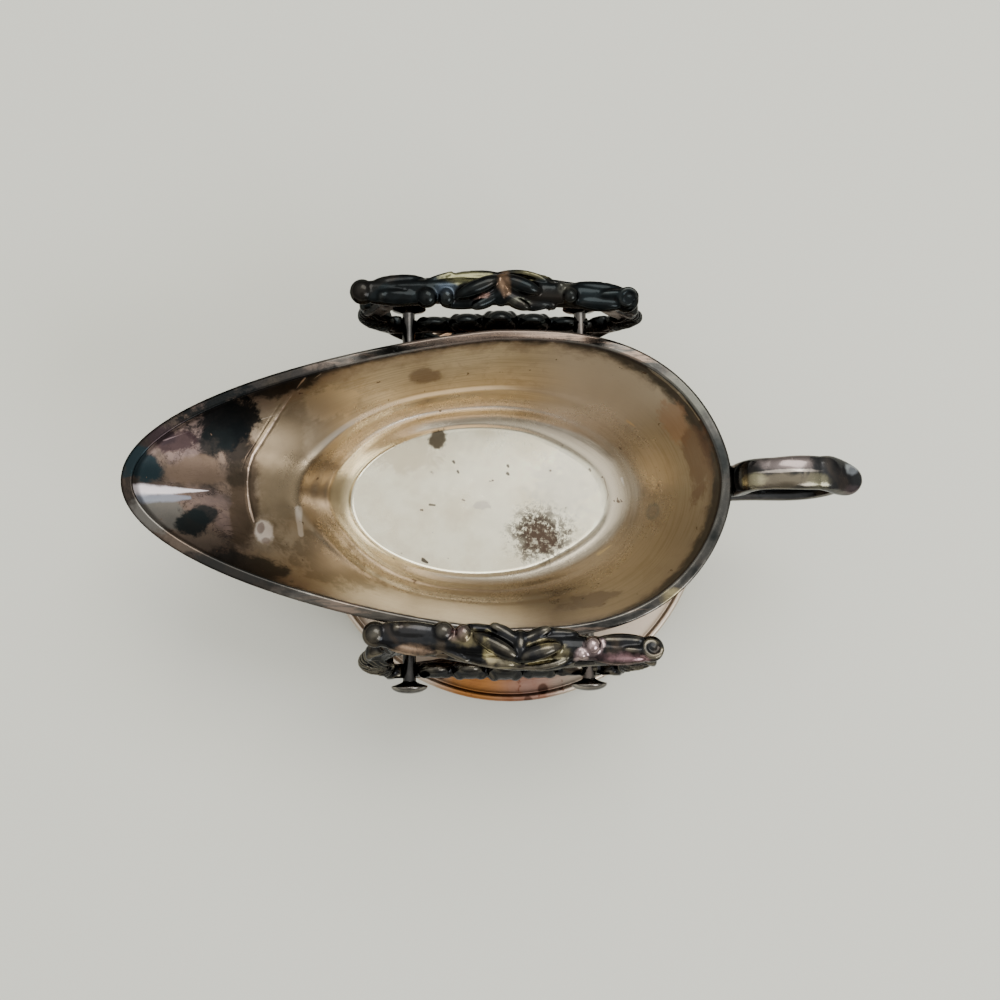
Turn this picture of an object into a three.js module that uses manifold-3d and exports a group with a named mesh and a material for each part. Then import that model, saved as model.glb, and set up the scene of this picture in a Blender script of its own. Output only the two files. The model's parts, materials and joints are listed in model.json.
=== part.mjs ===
// Silver-plated sauce boat carried on four pins between two cast side frames on a round dish.
// Millimetres, +Z up, +X towards the handle, -Y towards the near frame.
// The origin is on the table, midway between the two frames.

import * as THREE from "three";
import { mergeVertices } from "three/addons/utils/BufferGeometryUtils.js";
import Module from "manifold-3d";

const wasm = await Module();
wasm.setup();

// Clearances
const SOLDER_GAP = 0.3;      // between two pieces that are soldered along a curved seam
const RUNNING_GAP = 0.4;     // around a pin in its notch
const HEAD_PLAY = 0.6;       // between a pin's head and the frame's outer face
const SCREW_GAP = 0.3;       // around a screw in its hole
const RIM_CLEARANCE = 3.2;   // between the boat's rim and the frames

// Dish: a flat well, a cove, and a brim that reaches past the frames' feet
const DISH_SHIFT = 4;        // of the dish's middle towards the handle
const SHEET_DISH = 1.3;
const BRIM_TOP = 10;
const BRIM_INSIDE = 3;       // of flat brim inside the feet
const BRIM_OUTSIDE = 4.6;    // of flat brim outside the feet's corners
const COVE_WIDTH = 13.5;
const COVE_FOOT = 4.5;       // of the cove's run, where it leaves the table
const DISH_WIRE_RADIUS = 1.35;
const DISH_SIDES = 48;

// Boat outline at the rim, seen from above
const RIM_HALF_WIDTH = 49.4;
const RIM_WIDEST_X = -1;
const RIM_SPOUT_X = -116.5;
const RIM_REAR_X = 72;
const RIM_HEIGHT = 66;
const SPOUT_RISE = 9.5;
const REAR_RISE = 1;
const SPOUT_POINTEDNESS = 1.33;
const REAR_FULLNESS = 2.9;
const REAR_SHOULDER = 1.75;

// Boat floor and wall
const FLOOR_HEIGHT = 24;
const FLOOR_CENTRE_X = -7.9;
const FLOOR_HALF_LENGTH = 45.5;
const FLOOR_HALF_WIDTH = 26.1;
const SHEET_BOAT = 1.4;
const STEP_HEIGHT = 0.7;
const FLANGE_WIDTH = 3.6;
const FLANGE_COVE = 1.3;
const BOAT_SIDES = 48;

// Wire on the rim
const RIM_WIRE_WIDTH = 3.4;
const RIM_WIRE_HEIGHT = 2;

// Pins on the boat, one pair towards the spout and one towards the handle
const PIN_SPACING = 59.6;
const PIN_MIDDLE_X = -1.8;
const PIN_HEIGHT = 41.2;     // of their axes above the table
const PIN_RADIUS = 2.15;
const PIN_HEAD_RADIUS = 6;
const PIN_NECK_LENGTH = 2;
const PIN_DOME_HEIGHT = 2.3;
const PIN_SIDES = 14;
const BOSS_RADIUS = 5.4;
const BOSS_FACE_INSET = 6.4;  // from the rim's half width in to the boss's flat face

// Handle
const HANDLE_WIDTH = 10.6;
const HANDLE_THICKNESS = 3.8;
const HANDLE_REACH = 33;     // from the rim's rear to the outer side of the loop
const HANDLE_RISE = 12.5;    // of the arch above the rim
const HANDLE_FOOT_DROP = 18.5;  // of the lower root below the rim
const HANDLE_ROOT_DEPTH = 8; // of both roots into the wall, before they are cut to it
const LEAF_OVERHANG = 6.5;   // of the thumb leaf past the loop
const LEAF_WIDTH = 11;
const LEAF_THICKNESS = 4;

// Side frames, drawn flat and then leant in towards the boat. Heights in them run up the frame.
const FRAME_LEAN = 9;        // degrees
const FRAME_THICKNESS = 4.4;
const FRAME_HALF_WIDTH = 47.5;
const LEG_TUCK = 6.4;        // of the feet in under the sill
const FOOT_HALF_LENGTH = 18;
const FOOT_WIDTH = 6.4;
const FOOT_HEIGHT = 4.2;
const SCROLL_WIDTH = 9.2;    // of the side scrolls at their widest
const SHELL_RISE = 4.6;      // of the side shells past the scrolls' middle line
const SCALLOP_COUNT = 6;     // on each side shell's edge
const SCALLOP_RISE = 1.3;
const SHELL_FAN = 116;       // degrees
const SHELL_BEVEL = 0.8;
const SILL_WIDTH = 6.4;
const NOTCH_DEPTH = 1.8;     // of the pins' notches in the sill's top edge
const LOBE_SPACING = 11.6;
const LOBE_RISE = 12.2;      // of the middle lobe above the sill
const LOWER_SCROLL_WIDTH = 4.6;
const RAIL_ABOVE_RIM = 31;
const RAIL_RADIUS = 4;
const RAIL_HALF_LENGTH = 37;
const CENTRE_SHELL_RISE = 7.4;  // of the shell at the rail's middle, above the axis
const BALL_RADIUS = 3.9;
const FAR_TWIST = 1.8;       // degrees that the old frames' top rails are bent round, seen from above
const NEAR_TWIST = 3.8;
const FAR_SWAY = -2.6;       // of the old frames' top rails along X
const NEAR_SWAY = 1.3;

// Screws that hold the frames down
const SCREW_X = 11;
const SCREW_RADIUS = 1.5;
const SCREW_HEAD_RADIUS = 3;
const SCREW_HEAD_HEIGHT = 1.8;
const SCREW_COVER = 1.4;     // of the foot left above the screws' holes

const degrees = Math.PI / 180;

// Finishes
function metal(color, roughness) {
  return new THREE.MeshStandardMaterial({ color, roughness, metalness: 1 });
}
const tarnishedSilver = metal(0x8f7f6b, 0.3);
const darkSilver = metal(0x3c3b36, 0.42);
const copperySilver = metal(0xb98a73, 0.35);
const steel = metal(0x6f6f6c, 0.5);

// Solids

function triangleMesh(points, triangles) {
  const geometry = new THREE.BufferGeometry();
  const flat = new Float32Array(points.flatMap((p) => [p.x, p.y, p.z]));
  geometry.setAttribute("position", new THREE.BufferAttribute(flat, 3));
  geometry.setIndex(triangles);
  return facingOut(geometry);
}

function signedVolume(geometry) {
  const position = geometry.getAttribute("position");
  const index = geometry.getIndex();
  const [a, b, c] = [new THREE.Vector3(), new THREE.Vector3(), new THREE.Vector3()];
  let volume = 0;
  for (let i = 0; i < index.count; i += 3) {
    a.fromBufferAttribute(position, index.getX(i));
    b.fromBufferAttribute(position, index.getX(i + 1));
    c.fromBufferAttribute(position, index.getX(i + 2));
    volume += a.dot(b.cross(c)) / 6;
  }
  return volume;
}

// Turns every triangle round when the surface faces inwards.
function facingOut(geometry) {
  if (signedVolume(geometry) >= 0) return geometry;
  const index = geometry.getIndex();
  for (let i = 0; i < index.count; i += 3) {
    const second = index.getX(i + 1);
    index.setX(i + 1, index.getX(i + 2));
    index.setX(i + 2, second);
  }
  return geometry;
}

// Skins a row of rings that hold equally many points. The two ends are closed with fans, or
// the last ring is joined to the first one when the row runs round.
function loft(rings, runsRound = false) {
  const count = rings[0].length;
  const points = rings.flat();
  const triangles = [];
  const rows = runsRound ? rings.length : rings.length - 1;
  for (let r = 0; r < rows; r += 1) {
    const below = r * count;
    const above = ((r + 1) % rings.length) * count;
    for (let i = 0; i < count; i += 1) {
      const next = (i + 1) % count;
      triangles.push(below + i, below + next, above + next);
      triangles.push(below + i, above + next, above + i);
    }
  }
  if (!runsRound) {
    for (const [ring, start, flipped] of [
      [rings[0], 0, true],
      [rings.at(-1), (rings.length - 1) * count, false],
    ]) {
      const middle = ring.reduce((sum, p) => sum.add(p), new THREE.Vector3()).divideScalar(count);
      points.push(middle);
      for (let i = 0; i < count; i += 1) {
        const next = (i + 1) % count;
        if (flipped) triangles.push(start + next, start + i, points.length - 1);
        else triangles.push(start + i, start + next, points.length - 1);
      }
    }
  }
  return triangleMesh(points, triangles);
}

function toSolid(geometry) {
  const bare = geometry.clone();
  bare.deleteAttribute("normal");
  bare.deleteAttribute("uv");
  const welded = facingOut(mergeVertices(bare, 1e-4));
  return new wasm.Manifold(new wasm.Mesh({
    numProp: 3,
    vertProperties: new Float32Array(welded.getAttribute("position").array),
    triVerts: new Uint32Array(welded.getIndex().array),
  }));
}

function toGeometry(solid) {
  const mesh = solid.getMesh();
  const geometry = new THREE.BufferGeometry();
  geometry.setAttribute("position", new THREE.BufferAttribute(mesh.vertProperties, 3));
  geometry.setIndex(new THREE.BufferAttribute(mesh.triVerts, 1));
  return geometry;
}

function joined(geometries) {
  return geometries.map(toSolid).reduce((sum, solid) => sum.add(solid));
}

function mirroredAcross(geometry) {
  const copy = geometry.clone().applyMatrix4(new THREE.Matrix4().makeScale(1, -1, 1));
  return facingOut(copy);
}

// A revolved solid whose axis is Y. Its profile points are [radius, y].
function turnedAlongY(profile, sides) {
  return new THREE.LatheGeometry(profile.map(([r, y]) => new THREE.Vector2(r, y)), sides);
}

// A revolved solid whose axis is Z. Its profile points are [radius, z].
function turnedAlongZ(profile, sides) {
  return turnedAlongY(profile, sides).rotateX(Math.PI / 2);
}

// Boat

function rimHeightAt(x) {
  if (x < RIM_WIDEST_X) {
    return RIM_HEIGHT + SPOUT_RISE * ((x - RIM_WIDEST_X) / (RIM_SPOUT_X - RIM_WIDEST_X)) ** 2;
  }
  return RIM_HEIGHT + REAR_RISE * ((x - RIM_WIDEST_X) / (RIM_REAR_X - RIM_WIDEST_X)) ** 2;
}

// The rim is a pointed half oval towards the spout and a full one towards the handle.
// Its points start at the rear and go round evenly.
function rimOutline() {
  const drawn = [];
  const steps = 360;
  for (let i = 0; i < steps; i += 1) {
    const angle = (2 * Math.PI * i) / steps;
    const along = Math.cos(angle);
    const across = Math.sin(angle);
    const inFront = along < 0;
    const length = inFront ? RIM_WIDEST_X - RIM_SPOUT_X : RIM_REAR_X - RIM_WIDEST_X;
    const lengthPower = 2 / (inFront ? SPOUT_POINTEDNESS : REAR_FULLNESS);
    const widthPower = inFront ? 1 : 2 / REAR_SHOULDER;
    const x = RIM_WIDEST_X + Math.sign(along) * length * Math.abs(along) ** lengthPower;
    const y = Math.sign(across) * RIM_HALF_WIDTH * Math.abs(across) ** widthPower;
    drawn.push(new THREE.Vector3(x, y, 0));
  }
  const curve = new THREE.CatmullRomCurve3(drawn, true);
  curve.arcLengthDivisions = 2000;
  return curve.getSpacedPoints(BOAT_SIDES).slice(0, BOAT_SIDES);
}

function outwardNormals(outline) {
  return outline.map((point, i) => {
    const before = outline.at(i - 1);
    const after = outline[(i + 1) % outline.length];
    return new THREE.Vector3(after.y - before.y, before.x - after.x, 0).normalize();
  });
}

const rim = rimOutline();
const rimNormals = outwardNormals(rim);

// The wall's section is a Bezier curve from the floor to the rim's inner edge. Across the boat
// it bellies out at once; towards the spout it stands up first and then runs out.
const SIDE_HANDLES = [new THREE.Vector2(0.52, 0.04), new THREE.Vector2(0.86, 0.52)];
const SPOUT_HANDLES = [new THREE.Vector2(0.08, 0.42), new THREE.Vector2(0.44, 0.6)];

function wallPoint(i, t) {
  const angle = (2 * Math.PI * i) / BOAT_SIDES;
  const foot = new THREE.Vector3(
    FLOOR_CENTRE_X + FLOOR_HALF_LENGTH * Math.cos(angle),
    FLOOR_HALF_WIDTH * Math.sin(angle),
    FLOOR_HEIGHT,
  );
  const top = rim[i].clone().addScaledVector(rimNormals[i], -FLANGE_WIDTH);
  top.z = rimHeightAt(top.x) - FLANGE_COVE;
  const spoutward = THREE.MathUtils.smoothstep(top.x / RIM_SPOUT_X, 0.24, 0.86);
  const first = SIDE_HANDLES[0].clone().lerp(SPOUT_HANDLES[0], spoutward);
  const second = SIDE_HANDLES[1].clone().lerp(SPOUT_HANDLES[1], spoutward);
  const section = new THREE.CubicBezierCurve(
    new THREE.Vector2(0, 0), first, second, new THREE.Vector2(1, 1),
  ).getPoint(t);
  return new THREE.Vector3(
    foot.x + (top.x - foot.x) * section.x,
    foot.y + (top.y - foot.y) * section.x,
    foot.z + (top.z - foot.z) * section.y,
  );
}

// Direction from the inner skin to the outer one.
function wallNormal(i, t) {
  const d = 0.01;
  const along = wallPoint(i, Math.min(1, t + d)).sub(wallPoint(i, Math.max(0, t - d)));
  const around = wallPoint((i + 1) % BOAT_SIDES, t);
  around.sub(wallPoint((i - 1 + BOAT_SIDES) % BOAT_SIDES, t));
  return around.cross(along).normalize();
}

// Each row gives the place along the wall and how many of the raised oval steps lie below it.
const WALL_ROWS = [
  [0, 0], [0.03, 1], [0.15, 1], [0.185, 2], [0.34, 2], [0.38, 3],
  [0.48, 3], [0.58, 3], [0.68, 3], [0.78, 3], [0.88, 3], [0.95, 3], [1, 3],
];
const STEPS = 3;

function ringOf(place) {
  return Array.from({ length: BOAT_SIDES }, (_, i) => place(i));
}

function steppedWallPoint(i, t, steps) {
  const lifted = (steps - STEPS) * STEP_HEIGHT;
  const point = wallPoint(i, t);
  point.z += lifted * (1 - THREE.MathUtils.smoothstep(t, 0.38, 1));
  return point;
}

function flangePoint(i, share, height) {
  const point = rim[i].clone().addScaledVector(rimNormals[i], -FLANGE_WIDTH * (1 - share));
  point.z = rimHeightAt(rim[i].x) + height;
  return point;
}

// Both skins, from the middle of the floor out to the rim, moved out by an offset.
function skinRows(offset) {
  const rows = WALL_ROWS.map(([t, steps]) => ringOf((i) => {
    const point = steppedWallPoint(i, t, steps);
    const away = t === 0 ? new THREE.Vector3(0, 0, -1) : wallNormal(i, t);
    if (t < 0.1 && t > 0) away.add(new THREE.Vector3(0, 0, -1)).normalize();
    return point.addScaledVector(away, offset);
  }));
  rows.push(ringOf((i) => {
    const away = rimNormals[i].clone().add(new THREE.Vector3(0, 0, -1)).normalize();
    return flangePoint(i, 0.3, -FLANGE_COVE * 0.3).addScaledVector(away, offset);
  }));
  rows.push(ringOf((i) => flangePoint(i, 0.6, -offset)));
  rows.push(ringOf((i) => flangePoint(i, 0.94, -offset)));
  return rows;
}

const boatBody = loft([...skinRows(0), ...skinRows(SHEET_BOAT).reverse()]);

// The boat's outer form as one full solid, grown by a gap: what is soldered on is cut by it.
function boatEnvelope(gap) {
  const rows = skinRows(SHEET_BOAT + gap);
  rows.push(ringOf((i) => {
    const point = flangePoint(i, 0.94, 0).addScaledVector(rimNormals[i], gap);
    point.z += gap + RIM_WIRE_HEIGHT;
    return point;
  }));
  return toSolid(loft(rows));
}

// Wire on the rim: a half-round section on the flange, flush with its outer edge.
const RIM_WIRE_SECTION = [[0, 0], [0.08, 0.6], [0.32, 1], [0.68, 1], [0.94, 0.55], [1, 0]];
const boatRimWire = loft(rim.map((point, i) => RIM_WIRE_SECTION.map(([across, up]) => {
  const place = point.clone().addScaledVector(rimNormals[i], -RIM_WIRE_WIDTH * (1 - across));
  place.z = rimHeightAt(point.x) + SOLDER_GAP + RIM_WIRE_HEIGHT * up;
  return place;
})), true);

// Sweeps a section along a curve that is drawn in the X-Y plane. The section's points are
// shares of the depth, along Z, and of the width, across the curve.
function sweep(section, points, steps, depthAt, widthAt) {
  const curve = new THREE.CatmullRomCurve3(points.map(([x, y]) => new THREE.Vector3(x, y, 0)));
  const rings = [];
  for (let s = 0; s <= steps; s += 1) {
    const u = s / steps;
    const middle = curve.getPointAt(u);
    const tangent = curve.getTangentAt(u);
    const outward = new THREE.Vector3(-tangent.y, tangent.x, 0);
    rings.push(section.map(([deep, wide]) => middle.clone()
      .add(new THREE.Vector3(0, 0, deep * depthAt(u)))
      .addScaledVector(outward, wide * widthAt(u))));
  }
  return loft(rings);
}

// Handle: a strap with a low ridge, bent into a loop, with a leaf for the thumb on top.
const STRAP_SECTION = [
  [-0.5, -0.3], [-0.5, 0.12], [-0.38, 0.38], [0, 0.5],
  [0.38, 0.38], [0.5, 0.12], [0.5, -0.3], [0.36, -0.5], [-0.36, -0.5],
];

function boatHandle() {
  const x = RIM_REAR_X;
  const reach = HANDLE_REACH;
  const rise = HANDLE_RISE;
  const drop = HANDLE_FOOT_DROP;
  const z = RIM_HEIGHT + REAR_RISE;
  const under = z - SHEET_BOAT - SOLDER_GAP - 0.55 * HANDLE_THICKNESS;
  const top = z + rise;
  const loop = [
    [x - 0.75 * HANDLE_ROOT_DEPTH, under], [x + 0.07 * reach, under + 0.05 * rise],
    [x + 0.14 * reach, z + 0.36 * rise], [x + 0.22 * reach, z + 0.78 * rise],
    [x + 0.36 * reach, z + 0.97 * rise],
    [x + 0.6 * reach, top], [x + 0.84 * reach, z + 0.76 * rise],
    [x + reach, z + 0.22 * rise], [x + reach, z - 0.26 * drop],
    [x + 0.86 * reach, z - 0.6 * drop], [x + 0.56 * reach, z - 0.84 * drop],
    [x + 0.24 * reach, z - 0.95 * drop], [x - 1.25 * HANDLE_ROOT_DEPTH, z - drop],
  ];
  const leaf = [
    [x + 0.58 * reach, top + 0.04 * rise], [x + 0.8 * reach, top - 0.1 * rise],
    [x + 0.985 * reach, top - 0.36 * rise],
    [x + reach + 0.55 * LEAF_OVERHANG, top - 0.42 * rise],
    [x + reach + LEAF_OVERHANG, top - 0.36 * rise],
  ];
  const loopWidth = (u) => HANDLE_WIDTH * (0.94 + 0.06 * Math.cos(6 * Math.PI * u));
  const roundEnd = (u) => Math.sqrt(1 - 0.85 * (Math.max(0, u - 0.7) / 0.3) ** 2);
  const leafWidth = (u) => LEAF_WIDTH * (0.8 + 0.2 * Math.sin(Math.PI * u)) * roundEnd(u);
  const leafThickness = (u) => LEAF_THICKNESS * (0.6 + 0.4 * Math.sin(Math.PI * u));
  const body = joined([
    sweep(STRAP_SECTION, loop, 30, loopWidth, () => HANDLE_THICKNESS),
    sweep(STRAP_SECTION, leaf, 11, leafWidth, leafThickness),
  ].map((part) => part.rotateX(Math.PI / 2)));
  return toGeometry(body.subtract(boatEnvelope(SOLDER_GAP)));
}

// Side frames: their places are worked out from the boat, and the dish is sized to their feet.

const lean = FRAME_LEAN * degrees;
const frameBaseY = RIM_HALF_WIDTH + RIM_CLEARANCE + FRAME_THICKNESS / 2 / Math.cos(lean)
  + (RIM_HEIGHT - BRIM_TOP) * Math.tan(lean);
const footY = frameBaseY - LEG_TUCK;
const railUp = (RIM_HEIGHT + RAIL_ABOVE_RIM - BRIM_TOP) / Math.cos(lean);
const pinUp = (PIN_HEIGHT - BRIM_TOP) / Math.cos(lean);
const sillUp = pinUp - PIN_RADIUS - RUNNING_GAP + NOTCH_DEPTH;
const sillUnderside = BRIM_TOP + (sillUp - SILL_WIDTH) * Math.cos(lean);
const pinPlaces = [PIN_MIDDLE_X - PIN_SPACING / 2, PIN_MIDDLE_X + PIN_SPACING / 2];

// How far out the frame's middle is at a height above the sill's underside.
function framePlaneY(z) {
  return frameBaseY - (z - BRIM_TOP) * Math.tan(lean);
}

const bossFaceY = RIM_HALF_WIDTH - BOSS_FACE_INSET;
const frameOuterY = framePlaneY(PIN_HEIGHT) + FRAME_THICKNESS / 2 / Math.cos(lean);
const headStartY = frameOuterY + PIN_HEAD_RADIUS * Math.tan(lean) + HEAD_PLAY;

// A round boss soldered to the wall, facing along Y, for the pin's root.
function pinBoss(x) {
  const flare = turnedAlongY([
    [0, 0], [1.2 * BOSS_RADIUS, 0], [BOSS_RADIUS, bossFaceY - 0.48 * BOSS_RADIUS],
    [0.82 * BOSS_RADIUS, bossFaceY - 0.13 * BOSS_RADIUS], [0.7 * BOSS_RADIUS, bossFaceY],
    [0, bossFaceY],
  ], PIN_SIDES).translate(x, 0, PIN_HEIGHT);
  return toGeometry(toSolid(flare).subtract(boatEnvelope(SOLDER_GAP)));
}

// A pin whose shaft runs out through the frame to a domed head.
function pin(x) {
  const disc = headStartY + PIN_NECK_LENGTH;
  const profile = [
    [0, bossFaceY], [PIN_RADIUS, bossFaceY], [PIN_RADIUS, headStartY],
    [1.42 * PIN_RADIUS, headStartY + 0.45 * PIN_NECK_LENGTH],
    [0.92 * PIN_HEAD_RADIUS, disc - 0.17 * PIN_NECK_LENGTH], [PIN_HEAD_RADIUS, disc],
    [0.9 * PIN_HEAD_RADIUS, disc + 0.42 * PIN_DOME_HEIGHT],
    [0.55 * PIN_HEAD_RADIUS, disc + 0.85 * PIN_DOME_HEIGHT], [0, disc + PIN_DOME_HEIGHT],
  ];
  return turnedAlongY(profile, PIN_SIDES).translate(x, 0, PIN_HEIGHT);
}

// Moves what is drawn as (along X, up the frame, outwards) to its place on the far side. What
// is below the sill slants in under it, down to the foot.
function stoodUp(geometry) {
  geometry.rotateX(Math.PI / 2).applyMatrix4(new THREE.Matrix4().makeScale(1, -1, 1));
  geometry.rotateX(lean).translate(0, frameBaseY, BRIM_TOP);
  const position = geometry.getAttribute("position");
  for (let i = 0; i < position.count; i += 1) {
    const below = Math.max(0, sillUnderside - position.getZ(i)) / (sillUnderside - BRIM_TOP);
    position.setY(i, position.getY(i) - LEG_TUCK * below);
  }
  return facingOut(mergeVertices(geometry));
}

function plain(geometry) {
  geometry.deleteAttribute("normal");
  geometry.deleteAttribute("uv");
  return mergeVertices(geometry, 1e-4);
}

function blob(x, up, out, rx, rup, rout, turn = 0, sides = 8, rows = 4) {
  const ball = plain(new THREE.SphereGeometry(1, sides, rows));
  return ball.scale(rx, rup, rout).rotateZ(turn * degrees).translate(x, up, out);
}

function bead(x, up, out, radius) {
  return blob(x, up, out, radius, radius, radius);
}

// The cast members are oval in section, with flats inside and outside.
const SCROLL_SECTION = Array.from({ length: 6 }, (_, k) => {
  const angle = (k + 0.5) * 60 * degrees;
  return [0.577 * Math.cos(angle), 0.5 * Math.sin(angle)];
});

// A scroll along points that are drawn for the +X side. Its width swells in the middle.
function scroll(points, side, steps, width, ends, depth = FRAME_THICKNESS) {
  const swelling = (u) => width * (ends + (1 - ends) * Math.sin(Math.PI * u));
  return sweep(SCROLL_SECTION, points.map(([x, up]) => [side * x, up]), steps,
    () => depth, swelling);
}

// From the foot out round the window to the top rail.
function sideScroll(side) {
  const wide = FRAME_HALF_WIDTH - SHELL_RISE;
  return scroll([
    [0.78 * FOOT_HALF_LENGTH, 0.01 * railUp], [0.54 * wide, 0.13 * railUp],
    [0.81 * wide, 0.26 * railUp], [0.95 * wide, 0.4 * railUp], [wide, 0.54 * railUp],
    [0.94 * wide, 0.68 * railUp], [0.84 * wide, 0.79 * railUp], [0.78 * wide, 0.89 * railUp],
    [0.82 * wide, railUp],
  ], side, 15, SCROLL_WIDTH, 0.62);
}

// A scalloped shell: the outer part of a fan whose middle is at (x, up).
function scallopShell(x, up, reach, stretch, fan, towards, count, rise, depth) {
  const edge = (k, grow) => {
    const turn = towards + (k / count - 0.5) * fan;
    const radius = reach - rise + grow;
    return [
      x + radius * Math.cos(turn * degrees),
      up + stretch * radius * Math.sin(turn * degrees),
    ];
  };
  const outline = new THREE.Shape();
  outline.moveTo(...edge(0, 0));
  for (let k = 0; k < count; k += 1) {
    outline.quadraticCurveTo(...edge(k + 0.5, 2 * rise), ...edge(k + 1, 0));
  }
  const plate = new THREE.ExtrudeGeometry(outline, {
    depth: depth - 2 * SHELL_BEVEL,
    bevelThickness: SHELL_BEVEL,
    bevelSize: SHELL_BEVEL,
    bevelOffset: -SHELL_BEVEL,
    bevelSegments: 1,
    curveSegments: 2,
  });
  return plain(plate.translate(0, 0, SHELL_BEVEL - depth / 2));
}

function sideShell(side) {
  const reach = 2.9 * SHELL_RISE;
  return scallopShell(side * (FRAME_HALF_WIDTH - reach), 0.52 * railUp, reach, 1.6, SHELL_FAN,
    side > 0 ? 0 : 180, SCALLOP_COUNT, SCALLOP_RISE, 0.9 * FRAME_THICKNESS);
}

// The sill runs between the side scrolls and carries the pins in its notches. Its top edge
// rises into five lobes, tallest in the middle, that bulge outwards as they rise.
function lobedSill() {
  const wide = FRAME_HALF_WIDTH - SHELL_RISE;
  const edges = [-2.3, -1.49, -0.54, 0.54, 1.49, 2.3].map((share) => share * LOBE_SPACING);
  const valleys = [0, 0.22, 0.42, 0.42, 0.22, 0].map((share) => share * LOBE_RISE);
  const tops = [0.43, 0.72, 1, 0.72, 0.43].map((share) => share * LOBE_RISE);
  const rows = [[-0.9 * wide, 0], [-0.75 * wide, 0], [edges[0], 0]];
  for (let k = 0; k < tops.length; k += 1) {
    const swell = tops[k] - (valleys[k] + valleys[k + 1]) / 2;
    for (const t of [0.16, 0.5, 0.84, 1]) {
      const base = THREE.MathUtils.lerp(valleys[k], valleys[k + 1], t);
      const x = THREE.MathUtils.lerp(edges[k], edges[k + 1], t);
      rows.push([x, base + swell * Math.max(0, Math.sin(Math.PI * t)) ** 0.7]);
    }
  }
  rows.push([0.75 * wide, 0], [0.9 * wide, 0]);
  return loft(rows.map(([x, rise]) => {
    const bottom = sillUp - SILL_WIDTH + 0.4 * SILL_WIDTH * Math.cos((0.5 * Math.PI * x) / wide);
    const top = sillUp + rise;
    const depth = FRAME_THICKNESS + 0.32 * rise;
    return SCROLL_SECTION.map(([deep, wideShare]) => new THREE.Vector3(
      x, (top + bottom) / 2 + wideShare * (top - bottom), 0.1 * rise + deep * depth,
    ));
  }));
}

// Two scrolls stand back to back between the foot and the sill, with a leaf over them.
function lowerScrolls() {
  const f = FOOT_HALF_LENGTH;
  const parts = [-1, 1].map((side) => scroll([
    [0.24 * f, 0.36 * sillUp], [0.26 * f, 0.2 * sillUp], [0.5 * f, 0.12 * sillUp],
    [0.82 * f, 0.34 * sillUp], [0.78 * f, 0.64 * sillUp], [0.36 * f, 0.88 * sillUp],
  ], side, 9, LOWER_SCROLL_WIDTH, 0.7, 0.86 * FRAME_THICKNESS));
  const leaf = blob(0, 0.7 * sillUp, 0, 0.22 * f, 0.3 * sillUp, 0.48 * FRAME_THICKNESS);
  return [...parts, leaf];
}

// The top rail: a turned core with leaves, beads, a centre shell, an end ball and an end curl.
function topRail() {
  const end = RAIL_HALF_LENGTH;
  const bar = RAIL_RADIUS;
  const at = (x, up, out, ...rest) => blob(x * end, railUp + up * bar, out * bar, ...rest);
  const leafAt = (x, up, out, long, tall, turn) => at(x, up, out, long * bar, tall * bar,
    1.2 * bar, turn);
  const beadAt = (x, up, out, size) => bead(x * end, railUp + up * bar, out * bar, size * bar);
  const collar = 1.22 * bar;
  const profile = [
    [0, -end], [0.8 * bar, -end], [collar, -0.9 * end], [collar, -0.865 * end],
    [bar, -0.84 * end], [bar, -0.61 * end], [collar, -0.58 * end], [0.7 * bar, -0.5 * end],
  ];
  const turned = [...profile, ...profile.map(([radius, y]) => [radius, -y]).reverse()];
  const core = plain(turnedAlongY(turned, 8)).rotateZ(Math.PI / 2).translate(0, railUp, 0);
  const shell = scallopShell(0.015 * end, railUp - 0.2 * bar, CENTRE_SHELL_RISE, 1.3, 150, 90,
    5, 0.16 * CENTRE_SHELL_RISE, 2 * bar);
  const curl = plain(new THREE.TorusGeometry(0.72 * bar, 0.5 * bar, 6, 9));
  return [
    core,
    blob(0.04 * end - end - BALL_RADIUS, railUp, 0, BALL_RADIUS, BALL_RADIUS, BALL_RADIUS, 0, 10, 7),
    beadAt(-0.935, 0.8, 0.5, 0.5), beadAt(-0.53, 0.75, 0.8, 0.62), beadAt(0.53, 0.6, 0.85, 0.6),
    leafAt(-0.39, 0.1, 0.32, 1.5, 1.35, 24), leafAt(-0.18, 0.25, 0.4, 1.7, 1.2, -20),
    leafAt(0.2, 0.2, 0.4, 1.8, 1.15, 20), leafAt(0.42, 0.1, 0.32, 1.4, 1.3, -24),
    shell.translate(0, 0, 0.4 * bar),
    curl.translate(end - 0.15 * bar, railUp + 0.1 * bar, 0),
  ];
}

function block(width, depth, height) {
  return plain(new THREE.BoxGeometry(width, depth, height));
}

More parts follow.
